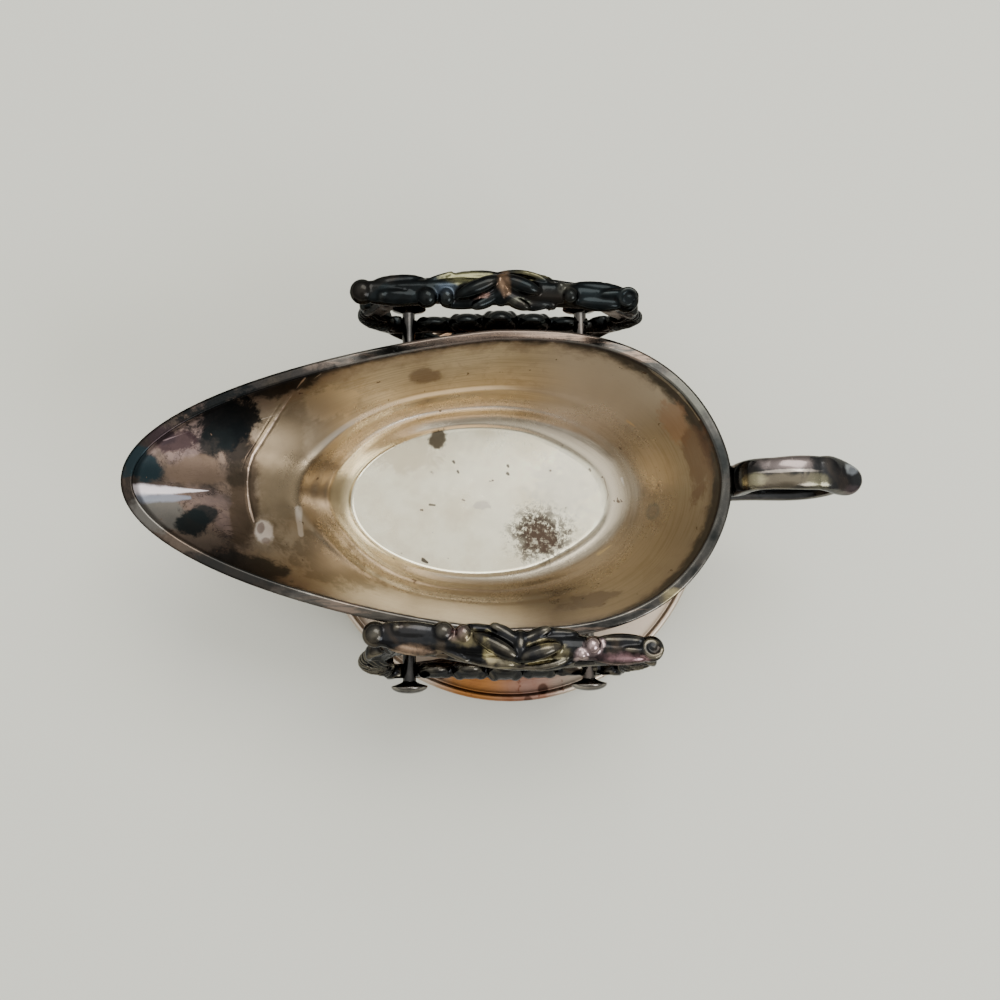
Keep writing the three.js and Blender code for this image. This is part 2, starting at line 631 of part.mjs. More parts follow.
// The frame on the far side, with its foot cut level on the brim, notches for the two pins and
// blind holes for the two screws.
function sideFrame() {
  const parts = [lobedSill(), ...lowerScrolls(), ...topRail()];
  for (const side of [-1, 1]) parts.push(sideScroll(side), sideShell(side));
  let frame = joined(parts.map(stoodUp));
  const pad = block(2 * FOOT_HALF_LENGTH, FOOT_WIDTH, FOOT_HEIGHT);
  frame = frame.add(toSolid(pad.translate(0, footY, BRIM_TOP + FOOT_HEIGHT / 2)));
  const below = block(3 * FRAME_HALF_WIDTH, footY, BRIM_TOP);
  frame = frame.subtract(toSolid(below.translate(0, footY, BRIM_TOP / 2)));
  const radius = PIN_RADIUS + RUNNING_GAP;
  const reach = 1.5 * frameBaseY;
  for (const x of pinPlaces) {
    const round = turnedAlongY([[0, 0], [radius, 0], [radius, reach], [0, reach]], PIN_SIDES);
    const tall = 2 * NOTCH_DEPTH + PIN_RADIUS;
    const open = block(2 * radius, reach, tall).translate(x, reach / 2, PIN_HEIGHT + tall / 2);
    frame = frame.subtract(toSolid(round.translate(x, 0, PIN_HEIGHT))).subtract(toSolid(open));
  }
  for (const x of [-SCREW_X, SCREW_X]) {
    const hole = screwHole(FOOT_HEIGHT - SCREW_COVER);
    frame = frame.subtract(hole.translate([x, footY, BRIM_TOP]));
  }
  return toGeometry(frame);
}

// Old cast frames are a little bent: above the pins' heads, the frame turns round the vertical
// and leans sideways more and more, up to its whole twist and sway at the top rail.
function bentFrame(geometry, side, angle, sway) {
  const bent = geometry.clone();
  const position = bent.getAttribute("position");
  const start = PIN_HEIGHT + PIN_HEAD_RADIUS;
  for (let i = 0; i < position.count; i += 1) {
    const [x, y, z] = [position.getX(i), position.getY(i), position.getZ(i)];
    const share = THREE.MathUtils.smoothstep(z, start, RIM_HEIGHT + RAIL_ABOVE_RIM);
    const turn = -angle * degrees * share;
    const away = y - side * framePlaneY(z);
    position.setX(i, x * Math.cos(turn) - away * Math.sin(turn) + sway * share);
    position.setY(i, y - away + x * Math.sin(turn) + away * Math.cos(turn));
  }
  return bent;
}

// A hole round a screw's axis, up to a height above the brim and well through the brim below.
function screwHole(height) {
  const radius = SCREW_RADIUS + SCREW_GAP;
  const below = -3 * SHEET_DISH;
  return toSolid(turnedAlongZ([[0, below], [radius, below], [radius, height], [0, height]], 10));
}

// Dish

const brimInnerRadius = footY - FOOT_WIDTH / 2 - BRIM_INSIDE;
const brimOuterRadius = BRIM_OUTSIDE
  + Math.hypot(FOOT_HALF_LENGTH + DISH_SHIFT, footY + FOOT_WIDTH / 2);
const wellRadius = brimInnerRadius - COVE_WIDTH;

// The spun dish: the underside's profile and, a sheet's thickness above it, the top's.
function standDish() {
  const t = SHEET_DISH;
  const under = BRIM_TOP - t;
  const cove = [
    [wellRadius, 0], [wellRadius + COVE_FOOT, 0.1 * under],
    [wellRadius + 0.63 * COVE_WIDTH, 0.45 * under],
    [brimInnerRadius - 0.13 * COVE_WIDTH, 0.86 * under],
  ];
  const profile = [
    [0, 0], ...cove, [brimInnerRadius + 0.8 * t, under], [brimOuterRadius, under],
    [brimOuterRadius, BRIM_TOP], [brimInnerRadius + 0.3 * t, BRIM_TOP],
    ...cove.map(([radius, z]) => [radius - 0.6 * t, z + t]).reverse(), [0, t],
  ];
  let dish = toSolid(turnedAlongZ(profile, DISH_SIDES).translate(DISH_SHIFT, 0, 0));
  for (const x of [-SCREW_X, SCREW_X]) {
    for (const y of [-footY, footY]) {
      dish = dish.subtract(screwHole(3 * SHEET_DISH).translate([x, y, BRIM_TOP]));
    }
  }
  return toGeometry(dish);
}

function dishWire() {
  const middle = brimOuterRadius + SOLDER_GAP + DISH_WIRE_RADIUS;
  const profile = Array.from({ length: 7 }, (_, k) => {
    const angle = (2 * Math.PI * (k % 6)) / 6;
    return [
      middle + DISH_WIRE_RADIUS * Math.cos(angle),
      BRIM_TOP + DISH_WIRE_RADIUS * Math.sin(angle),
    ];
  });
  return turnedAlongZ(profile, DISH_SIDES).translate(DISH_SHIFT, 0, 0);
}

// A slotted screw whose head bears on the brim's underside.
function frameScrew() {
  const under = BRIM_TOP - SHEET_DISH;
  const tip = BRIM_TOP + FOOT_HEIGHT - SCREW_COVER - SCREW_GAP;
  const head = under - SCREW_HEAD_HEIGHT;
  const edge = 0.22 * SCREW_HEAD_HEIGHT;
  const point = 0.3 * SCREW_RADIUS;
  const body = turnedAlongZ([
    [0, head], [SCREW_HEAD_RADIUS - edge, head], [SCREW_HEAD_RADIUS, head + edge],
    [SCREW_HEAD_RADIUS, under], [SCREW_RADIUS, under], [SCREW_RADIUS, tip - point],
    [SCREW_RADIUS - point, tip], [0, tip],
  ], 10);
  const slot = block(3 * SCREW_HEAD_RADIUS, 0.27 * SCREW_HEAD_RADIUS, 0.8 * SCREW_HEAD_HEIGHT);
  return toGeometry(toSolid(body).subtract(toSolid(slot.translate(0, 0, head))));
}

// Assembly

const sauceBoat = new THREE.Group();

function place(name, geometry, material, parent = sauceBoat) {
  const mesh = new THREE.Mesh(geometry, material);
  mesh.name = name;
  parent.add(mesh);
  return mesh;
}

place("boat_body", boatBody, tarnishedSilver);
place("boat_rim_wire", boatRimWire, darkSilver);
place("boat_handle", boatHandle(), darkSilver);
for (const [end, x] of [["front", pinPlaces[0]], ["rear", pinPlaces[1]]]) {
  const boss = pinBoss(x);
  const shaft = pin(x);
  place(`pin_boss_${end}_far`, boss, darkSilver);
  place(`pin_boss_${end}_near`, mirroredAcross(boss), darkSilver);
  place(`pin_${end}_far`, shaft, darkSilver);
  place(`pin_${end}_near`, mirroredAcross(shaft), darkSilver);
}

place("stand_dish", standDish(), copperySilver);
place("dish_rim_wire", dishWire(), copperySilver);
const frame = sideFrame();
place("side_frame_far", bentFrame(frame, 1, FAR_TWIST, FAR_SWAY), darkSilver);
const nearFrame = bentFrame(mirroredAcross(frame), -1, NEAR_TWIST, NEAR_SWAY);
place("side_frame_near", nearFrame, darkSilver);
for (const [end, x] of [["front", -SCREW_X], ["rear", SCREW_X]]) {
  for (const [side, y] of [["far", footY], ["near", -footY]]) {
    place(`frame_screw_${end}_${side}`, frameScrew(), steel).position.set(x, y, 0);
  }
}

export default sauceBoat;
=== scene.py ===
# %% [markdown]
# # A silver-plated sauce boat on its stand
# The object is a deep boat of sheet metal that hangs on four pins between two cast frames, which
# stand on a round dish. The plate is old: polished inside, nearly black on its edges.
# A measured frame of solids comes in first, and every piece made here rides on one of its bodies.

# %% The measured frame
import json
import math
import bpy
import bmesh
import numpy as np
from mathutils import Matrix, Vector
from mathutils.bvhtree import BVHTree

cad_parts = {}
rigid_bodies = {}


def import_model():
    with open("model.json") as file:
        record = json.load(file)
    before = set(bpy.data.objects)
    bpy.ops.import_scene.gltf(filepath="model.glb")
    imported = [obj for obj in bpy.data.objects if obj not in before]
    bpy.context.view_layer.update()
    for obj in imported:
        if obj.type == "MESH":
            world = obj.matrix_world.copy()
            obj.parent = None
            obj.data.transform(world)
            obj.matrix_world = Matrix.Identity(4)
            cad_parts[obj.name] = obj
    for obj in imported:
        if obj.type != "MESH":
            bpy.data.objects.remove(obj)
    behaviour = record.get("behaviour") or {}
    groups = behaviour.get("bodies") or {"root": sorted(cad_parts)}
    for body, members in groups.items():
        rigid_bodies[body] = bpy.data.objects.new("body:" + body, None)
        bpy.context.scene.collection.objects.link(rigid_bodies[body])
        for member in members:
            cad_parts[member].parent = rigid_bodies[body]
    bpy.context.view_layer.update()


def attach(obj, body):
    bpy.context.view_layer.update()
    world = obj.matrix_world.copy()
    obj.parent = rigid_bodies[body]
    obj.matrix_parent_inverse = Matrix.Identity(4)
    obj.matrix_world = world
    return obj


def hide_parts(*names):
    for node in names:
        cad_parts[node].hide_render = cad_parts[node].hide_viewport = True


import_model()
MM = 0.001

# %% [markdown]
# ## The camera
# The photograph looks almost straight down, from about 38 cm above the table. A camera is a
# place and three axes: right, up, and the direction it looks away from. They are turned here
# step by step from a camera that looks straight down, so each angle keeps its plain meaning.

# %% Camera
def add_object(name, data):
    """An object in the scene that shows the given data."""
    made = bpy.data.objects.new(name, data)
    bpy.context.collection.objects.link(made)
    return made


CAMERA_PLACE = (-14.67, -47.49, 377.76)
CAMERA_TILT, CAMERA_PAN, CAMERA_ROLL = 0.1325, 0.0412, 0.0142


def make_camera():
    down = Matrix(((1, 0, 0), (0, -1, 0), (0, 0, -1)))
    tilt = Matrix.Rotation(-CAMERA_TILT, 3, "X")
    pan = Matrix.Rotation(-CAMERA_PAN, 3, "Y")
    roll = Matrix.Rotation(-CAMERA_ROLL, 3, "Z")
    right, below, ahead = roll @ tilt @ pan @ down
    turn = Matrix((right, -below, -ahead)).transposed()
    data = bpy.data.cameras.new("camera")
    data.sensor_width, data.lens = 36, 36
    data.clip_start, data.clip_end = 0.01, 20
    camera = add_object("camera", data)
    camera.matrix_world = Matrix.Translation(Vector(CAMERA_PLACE) * MM) @ turn.to_4x4()
    bpy.context.scene.camera = camera
    return camera


camera = make_camera()
print("camera looks along", [round(-v, 3) for v in camera.matrix_world.col[2][:3]])

# %% [markdown]
# ## Mesh helpers
# Most pieces of hollowware are skins: rings of points, one after another, with quads between
# them. One helper joins the rings, closes the ends, turns the faces outwards and shades the
# piece smooth. Lengths are written in millimetres and scaled once, when the mesh is made.


# %% Helpers for meshes
def turn_faces_out(mesh):
    work = bmesh.new()
    work.from_mesh(mesh)
    bmesh.ops.recalc_face_normals(work, faces=work.faces)
    if work.calc_volume(signed=True) < 0:
        bmesh.ops.reverse_faces(work, faces=work.faces)
    work.to_mesh(mesh)
    work.free()


def keep_on_points(mesh, label, values):
    layer = mesh.attributes.new(label, "FLOAT", "POINT")
    layer.data.foreach_set("value", np.asarray(values, np.float32))


def new_piece(name, points, faces, material=None, attributes=None):
    mesh = bpy.data.meshes.new(name)
    mesh.from_pydata([tuple(p) for p in np.asarray(points, float) * MM], [], faces)
    for label, values in (attributes or {}).items():
        keep_on_points(mesh, label, values)
    turn_faces_out(mesh)
    mesh.polygons.foreach_set("use_smooth", [True] * len(mesh.polygons))
    if material:
        mesh.materials.append(material)
    return add_object(name, mesh)


def points_of(mesh):
    return np.array([v.co for v in mesh.vertices]) / MM


def move_points(mesh, points):
    mesh.vertices.foreach_set("co", (points * MM).ravel())


def skin(rings):
    """Quads between rings that hold equally many points; closed with a fan at each end."""
    count = len(rings[0])
    points = [p for ring in rings for p in ring]
    faces = []
    for r in range(len(rings) - 1):
        a, b = r * count, (r + 1) * count
        faces += [(a + i, a + (i + 1) % count, b + (i + 1) % count, b + i) for i in range(count)]
    for ring, start in ((rings[0], 0), (rings[-1], (len(rings) - 1) * count)):
        hub = len(points)
        points.append(np.mean(ring, axis=0))
        faces += [(start + i, start + (i + 1) % count, hub) for i in range(count)]
    return points, faces


def smooth_path(places, count):
    """Evenly spaced points on a smooth curve through the given places."""
    p = np.array(places, float)
    ends = np.vstack([2 * p[0] - p[1], p, 2 * p[-1] - p[-2]])
    drawn = []
    for p0, p1, p2, p3 in zip(ends, ends[1:], ends[2:], ends[3:]):
        d0, d1, d2 = (max(np.linalg.norm(b - a), 1e-9) ** 0.5 for a, b in ((p0, p1), (p1, p2), (p2, p3)))
        m1 = ((p1 - p0) / d0 - (p2 - p0) / (d0 + d1) + (p2 - p1) / d1) * d1
        m2 = ((p2 - p1) / d1 - (p3 - p1) / (d1 + d2) + (p3 - p2) / d2) * d1
        for t in np.linspace(0, 1, 40, endpoint=False):
            a, b = t * t, t * t * t
            drawn.append((2 * b - 3 * a + 1) * p1 + (b - 2 * a + t) * m1 + (3 * a - 2 * b) * p2 + (b - a) * m2)
    drawn = np.vstack([drawn, p[-1]])
    run = np.concatenate([[0], np.cumsum(np.linalg.norm(np.diff(drawn, axis=0), axis=1))])
    even = np.linspace(0, run[-1], count)
    return np.stack([np.interp(even, run, drawn[:, k]) for k in range(p.shape[1])], axis=1)


def step(value, low, high):
    """0 below low, 1 above high, with a soft rise between them."""
    share = np.clip((np.asarray(value, float) - low) / (high - low), 0, 1)
    return share * share * (3 - 2 * share)


def lathe(profile, sides, axis="Z"):
    """Rings round an axis for a profile of (radius, height) that starts and ends on it."""
    turn = np.linspace(0, 2 * math.pi, sides, endpoint=False)
    rings = []
    for radius, height in profile:
        level = np.full(sides, float(height))
        around = (radius * np.cos(turn), radius * np.sin(turn))
        rings.append(np.stack((*around, level) if axis == "Z" else (around[0], level, around[1]), axis=1))
    return rings


# %% [markdown]
# ## Finishes
# All of it is silver plate, so every finish is a metal. What differs is the tarnish: champagne
# where it is thin, brown and mauve where it is thicker, blue-black where it is old. Each finish
# layers noises of different sizes, then puts fine scratches into the bump and the roughness.


# %% Helpers for finishes
class Nodes:
    """Short ways to add nodes to a tree and to link them."""

    def __init__(self, tree):
        self.tree = tree

    def add(self, kind, inputs=None, **settings):
        node = self.tree.nodes.new(kind)
        for key, value in settings.items():
            setattr(node, key, value)
        for key, value in (inputs or {}).items():
            self.put(node.inputs[key], value)
        return node

    def put(self, socket, value):
        if isinstance(value, bpy.types.NodeSocket):
            self.tree.links.new(value, socket)
        else:
            socket.default_value = value

    def several(self, node, values):
        for socket, value in zip(node.inputs, values):
            if value is not None:
                self.put(socket, value)
        return node

    def math(self, kind, a, b=0.0, c=None):
        return self.several(self.add("ShaderNodeMath", operation=kind), (a, b, c)).outputs[0]

    def vector(self, kind, a, b, out=0):
        return self.several(self.add("ShaderNodeVectorMath", operation=kind), (a, b)).outputs[out]


class Finish(Nodes):
    """A metal, or another material, and the layers of its colour, roughness and relief."""

    def __init__(self, name, metallic=1.0):
        self.material = bpy.data.materials.new(name)
        self.material.use_nodes = True
        super().__init__(self.material.node_tree)
        self.shader = self.tree.nodes["Principled BSDF"]
        self.shader.inputs["Metallic"].default_value = metallic
        self.place = self.add("ShaderNodeTexCoord").outputs["Object"]

    def noise(self, scale, detail=4, rough=0.55, stretch=(1, 1, 1), at=(0, 0, 0), warp=0.0, place=None):
        moved = self.add("ShaderNodeMapping", {"Vector": place or self.place, "Location": at, "Scale": stretch})
        return self.add("ShaderNodeTexNoise", {
            "Vector": moved.outputs["Vector"], "Scale": scale, "Detail": detail,
            "Roughness": rough, "Distortion": warp}).outputs["Fac"]

    def kept(self, label, output="Fac"):
        """A value that was kept on the points of the mesh."""
        return self.add("ShaderNodeAttribute", attribute_name=label).outputs[output]

    def ramp(self, value, low, high):
        """0 at low and 1 at high, with soft ends."""
        return self.add("ShaderNodeMapRange", {"Value": value, "From Min": low, "From Max": high},
                        interpolation_type="SMOOTHSTEP").outputs["Result"]

    def times(self, a, b):
        return self.math("MULTIPLY", a, b)

    def plus(self, a, b):
        return self.math("ADD", a, b)

    def scaled(self, value, by, plus):
        return self.math("MULTIPLY_ADD", value, by, plus)

    def apart(self, a, b):
        return self.math("ABSOLUTE", self.math("SUBTRACT", a, b))

    def put_colour(self, socket, colour):
        self.put(socket, colour if isinstance(colour, bpy.types.NodeSocket) else tint(colour))

    def mix(self, share, a, b):
        node = self.add("ShaderNodeMix", data_type="RGBA")
        self.put(node.inputs[0], share)
        self.put_colour(node.inputs[6], a)
        self.put_colour(node.inputs[7], b)
        return node.outputs[2]

    def layer(self, under, tone, where, share):
        """A tone laid over a colour. where is 0 to 1 on the surface, share is its strength."""
        return self.mix(self.times(where, share), under, tone)

    def patch(self, centre, size, ragged=0.35, soft=0.25):
        """1 inside an uneven oval on the surface, 0 outside. Sizes are in millimetres."""
        shifted = self.vector("SUBTRACT", self.place, Vector(centre) * MM)
        scaled = self.vector("MULTIPLY", shifted, [1 / (s * MM) for s in size])
        away = self.vector("LENGTH", scaled, None, 1)
        edge = self.scaled(self.ragged_edge(), 4 * ragged, -2 * ragged)
        return self.ramp(self.plus(away, edge), 1 + soft, 1 - soft)

    def ragged_edge(self):
        """One noise that all stains and marks of a finish share for their outlines."""
        if not hasattr(self, "edge_noise"):
            self.edge_noise = self.noise(170, 8, 0.66, warp=0.3)
        return self.edge_noise

    def stroke(self, start, end, width, taper=0.8, soft=0.4):
        """1 near the line from start to end, narrower towards the end, 0 away from it."""
        start, end = Vector(start) * MM, Vector(end) * MM
        along = end - start
        shifted = self.vector("SUBTRACT", self.place, start)
        share = self.math("DIVIDE", self.vector("DOT_PRODUCT", shifted, along, 1), along.length_squared)
        share = self.add("ShaderNodeClamp", {"Value": share}).outputs[0]
        reach = self.add("ShaderNodeVectorMath", {0: along, "Scale": share}, operation="SCALE").outputs[0]
        away = self.vector("DISTANCE", shifted, reach, 1)
        half = self.scaled(share, -taper * width / 2 * MM, width / 2 * MM)
        edge = self.scaled(self.ragged_edge(), 1.6, -0.8)
        return self.ramp(self.plus(self.math("DIVIDE", away, half), edge), 1 + soft, 1 - soft)

    def finish(self, colour, roughness, bump=None, strength=0.3, distance=0.0002):
        self.put_colour(self.shader.inputs["Base Color"], colour)
        self.put(self.shader.inputs["Roughness"], roughness)
        if bump is not None:
            node = self.add("ShaderNodeBump", {"Height": bump, "Strength": strength, "Distance": distance})
            self.put(self.shader.inputs["Normal"], node.outputs["Normal"])
        return self.material


def tint(colour):
    """A colour given as 0 to 255 in a picture, as the linear value that a shader wants."""
    linear = [(c / 255 / 12.92) if c <= 10 else ((c / 255 + 0.055) / 1.055) ** 2.4 for c in colour]
    return (*linear, 1.0)


# %% [markdown]
# ## The boat's body
# A silversmith raises the boat from one sheet over stakes. Its floor is an oval with raised
# steps round it, and its rim is a drop shape with a long spout. Both outlines are written as
# formulas, and each wall section is a Bezier curve between them, so the surface stays fair.

# %% Outlines of the boat
RIM_HALF_WIDTH, RIM_WIDEST_X, RIM_SPOUT_X, RIM_REAR_X = 49.4, -1.0, -116.5, 72.0
SPOUT_POWER, REAR_POWER_X, REAR_POWER_Y = 1.33, 2.9, 1.75
RIM_HEIGHT, SPOUT_RISE, REAR_RISE = 66.0, 9.5, 1.0
FLOOR_HEIGHT, FLOOR_CENTRE_X, FLOOR_HALF_LENGTH, FLOOR_HALF_WIDTH = 24.0, -7.9, 45.5, 26.1
SHEET_BOAT, STEP_HEIGHT, FLANGE_WIDTH, FLANGE_COVE = 1.4, 0.7, 3.6, 1.3
BOAT_SIDES = 360
# Two raised steps, as shares of the way up the wall (from, to), and the bead on each (at, width).
STEP_BANDS = ((0.15, 0.23), (0.34, 0.43))
STEP_BEADS = ((0.232, 0.03), (0.432, 0.035))
# The two handles of a wall section's curve, (outwards, upwards): of the body and of the spout.
BODY_CURVE = np.array([(0.52, 0.04), (0.86, 0.52)])
SPOUT_CURVE = np.array([(0.08, 0.42), (0.44, 0.60)])


def rim_height(x):
    front = SPOUT_RISE * ((x - RIM_WIDEST_X) / (RIM_SPOUT_X - RIM_WIDEST_X)) ** 2
    rear = REAR_RISE * ((x - RIM_WIDEST_X) / (RIM_REAR_X - RIM_WIDEST_X)) ** 2
    return RIM_HEIGHT + np.where(x < RIM_WIDEST_X, front, rear)


def rim_outline(count):
    angle = np.linspace(0, 2 * math.pi, 7201)
    along, across = np.cos(angle), np.sin(angle)
    front = along < 0
    length = np.where(front, RIM_WIDEST_X - RIM_SPOUT_X, RIM_REAR_X - RIM_WIDEST_X)
    power_x = np.where(front, 2 / SPOUT_POWER, 2 / REAR_POWER_X)
    power_y = np.where(front, 1, 2 / REAR_POWER_Y)
    x = RIM_WIDEST_X + np.sign(along) * length * np.abs(along) ** power_x
    y = np.sign(across) * RIM_HALF_WIDTH * np.abs(across) ** power_y
    run = np.concatenate([[0], np.cumsum(np.hypot(np.diff(x), np.diff(y)))])
    even = np.linspace(0, run[-1], count, endpoint=False)
    return np.interp(even, run, x), np.interp(even, run, y)


rim_x, rim_y = rim_outline(BOAT_SIDES)
out_x = np.roll(rim_y, -1) - np.roll(rim_y, 1)
out_y = np.roll(rim_x, 1) - np.roll(rim_x, -1)
out_x, out_y = out_x / np.hypot(out_x, out_y), out_y / np.hypot(out_x, out_y)
print("rim runs round", round(float(np.hypot(*(np.roll(v, -1) - v for v in (rim_x, rim_y))).sum()), 1), "mm")

# %% [markdown]
# A ring of the wall has the same share t of the way from floor to flange all round. The raised
# steps fade where the floor runs up to the handle. The outer skin is the inner one moved out by
# the thickness of the sheet, along the wall's normals.


# %% Both skins of the boat
def wall_point(t):
    turn = np.linspace(0, 2 * math.pi, BOAT_SIDES, endpoint=False)
    foot_x = FLOOR_CENTRE_X + FLOOR_HALF_LENGTH * np.cos(turn)
    foot_y = FLOOR_HALF_WIDTH * np.sin(turn) * (1 - 0.16 * step(np.cos(turn), 0.35, 1.0) * np.abs(np.sin(turn)))
    top_x, top_y = rim_x - FLANGE_WIDTH * out_x, rim_y - FLANGE_WIDTH * out_y
    top_z = rim_height(top_x) - FLANGE_COVE
    spoutward = step(top_x / RIM_SPOUT_X, 0.24, 0.86)[:, None]
    first, second = (body * (1 - spoutward) + spout * spoutward for body, spout in zip(BODY_CURVE, SPOUT_CURVE))
    s = 3 * t * (1 - t) ** 2 * first + 3 * t * t * (1 - t) * second + t**3
    rings = sum(step(t, *band) for band in STEP_BANDS)
    rings += 0.6 * sum(math.exp(-(((t - at) / width) ** 2)) for at, width in STEP_BEADS)
    smoothed = 0.85 * step(np.cos(turn), 0.25, 0.8)
    steps = step(t, 0.0, 0.06) + rings + smoothed * (2 * step(t, 0.1, 0.45) - rings)
    drop = (steps - 3) * STEP_HEIGHT * (1 - step(t, 0.38, 1))
    return np.stack([
        foot_x + (top_x - foot_x) * s[:, 0], foot_y + (top_y - foot_y) * s[:, 0],
        FLOOR_HEIGHT + (top_z - FLOOR_HEIGHT) * s[:, 1] + drop], axis=1)


def wall_normal(t):
    along = wall_point(min(1, t + 0.01)) - wall_point(max(0, t - 0.01))
    ring = wall_point(t)
    normal = np.cross(np.roll(ring, -1, 0) - np.roll(ring, 1, 0), along)
    if t < 0.1:
        normal /= np.linalg.norm(normal, axis=1, keepdims=True)
        normal = normal + np.array([0, 0, -1]) * (1 - t / 0.1)
    return normal / np.linalg.norm(normal, axis=1, keepdims=True)


def flange_ring(share, offset):
    x, y = (r - FLANGE_WIDTH * (1 - share) * o for r, o in ((rim_x, out_x), (rim_y, out_y)))
    z = rim_height(rim_x) - FLANGE_COVE * (1 - step(share, -0.35, 0.62)) - offset
    lean = offset * (1 - step(share, 0, 0.5))
    return np.stack([x + lean * out_x, y + lean * out_y, z + 0.3 * lean], axis=1)


def skin_rings(offset):
    rings, heights = [], []
    floor = wall_point(0.0)
    middle = np.array([FLOOR_CENTRE_X, 0, floor[0][2]])
    for share in (0.15, 0.4, 0.7, 0.9, 0.97):
        rings.append(middle + (floor - middle) * share - np.array([0, 0, offset]))
        heights.append(0.0)
    for t in np.linspace(0, 1, 84):
        rings.append(wall_point(t) + wall_normal(t) * offset)
        heights.append(t)
    for share in (0.15, 0.3, 0.45, 0.6, 0.78, 0.94):
        rings.append(flange_ring(share, offset))
        heights.append(1 + 0.1 * share)
    return rings, heights


inner, inner_heights = skin_rings(0.0)
outer, outer_heights = skin_rings(SHEET_BOAT)
print("rings in the boat's two skins:", len(inner) + len(outer))

# %% [markdown]
# The two skins are joined at the rim into one closed wall. Three values are kept on its points
# for the finish: how far up the wall a point is, whether it is inside, and a place that runs
# round the wall, so that wiping marks can follow the wall the way a cloth does.

# %% The body as one mesh
def boat_body():
    points, faces = skin(inner + outer[::-1])
    heights = np.repeat(inner_heights + outer_heights[::-1], BOAT_SIDES)
    inside = np.repeat([1.0] * len(inner) + [0.0] * len(outer), BOAT_SIDES)
    heights, inside = np.append(heights, [0, 0]), np.append(inside, [1, 0])
    body = new_piece("boat_shell", points, faces, attributes={"wall": heights, "inside": inside})
    p = np.array([v.co for v in body.data.vertices])
    turn = np.arctan2(p[:, 1] * 1.5, p[:, 0] - FLOOR_CENTRE_X * MM)
    path = body.data.attributes.new("wiping", "FLOAT_VECTOR", "POINT")
    path.data.foreach_set("vector", np.stack(
        [np.cos(turn), np.sin(turn), heights * 1.6], axis=1).astype(np.float32).ravel())
    return body


body = boat_body()
print("boat body:", len(body.data.polygons), "faces")

# %% [markdown]
# ## The plate inside the boat
# The floor is the brightest silver, because sauce spoons and polishing reach it best. The wall
# has a champagne tarnish that turns brown, mauve and then black towards the spout and the rim.
# Each stain is an oval with a ragged edge, set where it lies, over the layered tarnish. Painted highlights and
# painted shade are laid in with them.

# %% Tarnish of the body
# Heights on the wall of two painted highlights that run along the step rings.
GLINT_HEIGHTS_PAINTED = (0.235, 0.465)


def spout_tarnish(f, clouds):
    """Brown, mauve and black films, mottled at two sizes."""
    mottle = f.noise(52, 8, 0.66, warp=1.0)
    fleck = f.noise(190, 6, 0.7, at=(2, 0, 1), warp=0.6)
    colour = f.mix(f.ramp(mottle, 0.40, 0.60), (62, 55, 50), (108, 92, 80))
    colour = f.layer(colour, (40, 39, 40), f.ramp(fleck, 0.5, 0.62), 0.45)
    colour = f.layer(colour, (120, 102, 98), f.ramp(clouds, 0.52, 0.66), 0.5)
    veins = f.apart(f.noise(64, 7, 0.72, at=(5, 1, 2), warp=0.5), 0.5)
    return f.layer(colour, (38, 33, 32), f.ramp(veins, 0.016, 0.004), 0.6)


def wall_film_and_painted_light(f, clouds, x, y, wall, wiping):
    """A thin champagne film, greyer on the far side and more golden towards the handle, with painted shade on the
    near side and two painted highlights along the far-left steps.
    """
    streaks = f.noise(2.0, 8, 0.66, stretch=(1, 1, 22), place=wiping)
    fine = f.noise(4.0, 6, 0.7, stretch=(1, 1, 90), place=wiping)
    film = f.mix(f.ramp(clouds, 0.38, 0.64), (210, 197, 176), (194, 180, 156))
    blotches = f.noise(95, 6, 0.72, at=(1, 3, 0), warp=0.8)
    film = f.layer(film, (156, 137, 114), f.ramp(blotches, 0.5, 0.62), 0.35)
    golden = f.plus(f.scaled(clouds, 50, -25), f.scaled(y, -0.7, x))
    film = f.layer(film, (192, 174, 146), f.ramp(golden, -10, 60), 0.6)
    film = f.layer(film, (166, 150, 126), f.ramp(streaks, 0.48, 0.6), 0.5)
    film = f.layer(film, (224, 213, 194), f.ramp(fine, 0.58, 0.68), 0.3)
    film = f.layer(film, (138, 118, 96), f.ramp(fine, 0.42, 0.32), 0.35)
    film = f.layer(film, (146, 129, 108), f.ramp(x, 38, 66), 0.5)
    # Painted shade: the wall is darkened on the near side, most towards the left.
    near_side_shade = f.times(f.ramp(y, -20, -38), f.scaled(f.ramp(x, 40, 10), 0.5, 0.3))
    film = f.mix(near_side_shade, film, (144, 127, 108))
    film = f.layer(film, (234, 224, 212), f.times(f.ramp(y, 18, 32), f.ramp(x, 6, 26)), 0.9)
    # Painted highlights: two pale arcs along the step rings on the far-left wall.
    for height in GLINT_HEIGHTS_PAINTED:
        glint_arc = f.ramp(f.apart(wall, height), 0.036, 0.012)
        far = f.times(f.ramp(y, 4, 24), f.ramp(x, 14, -8))
        film = f.layer(film, (255, 246, 234), f.times(glint_arc, far), 0.9)
    film = f.layer(film, (154, 136, 110), f.ramp(x, -36, -68), 0.85)
    return film, fine


print("pale arcs on the wall at", GLINT_HEIGHTS_PAINTED)
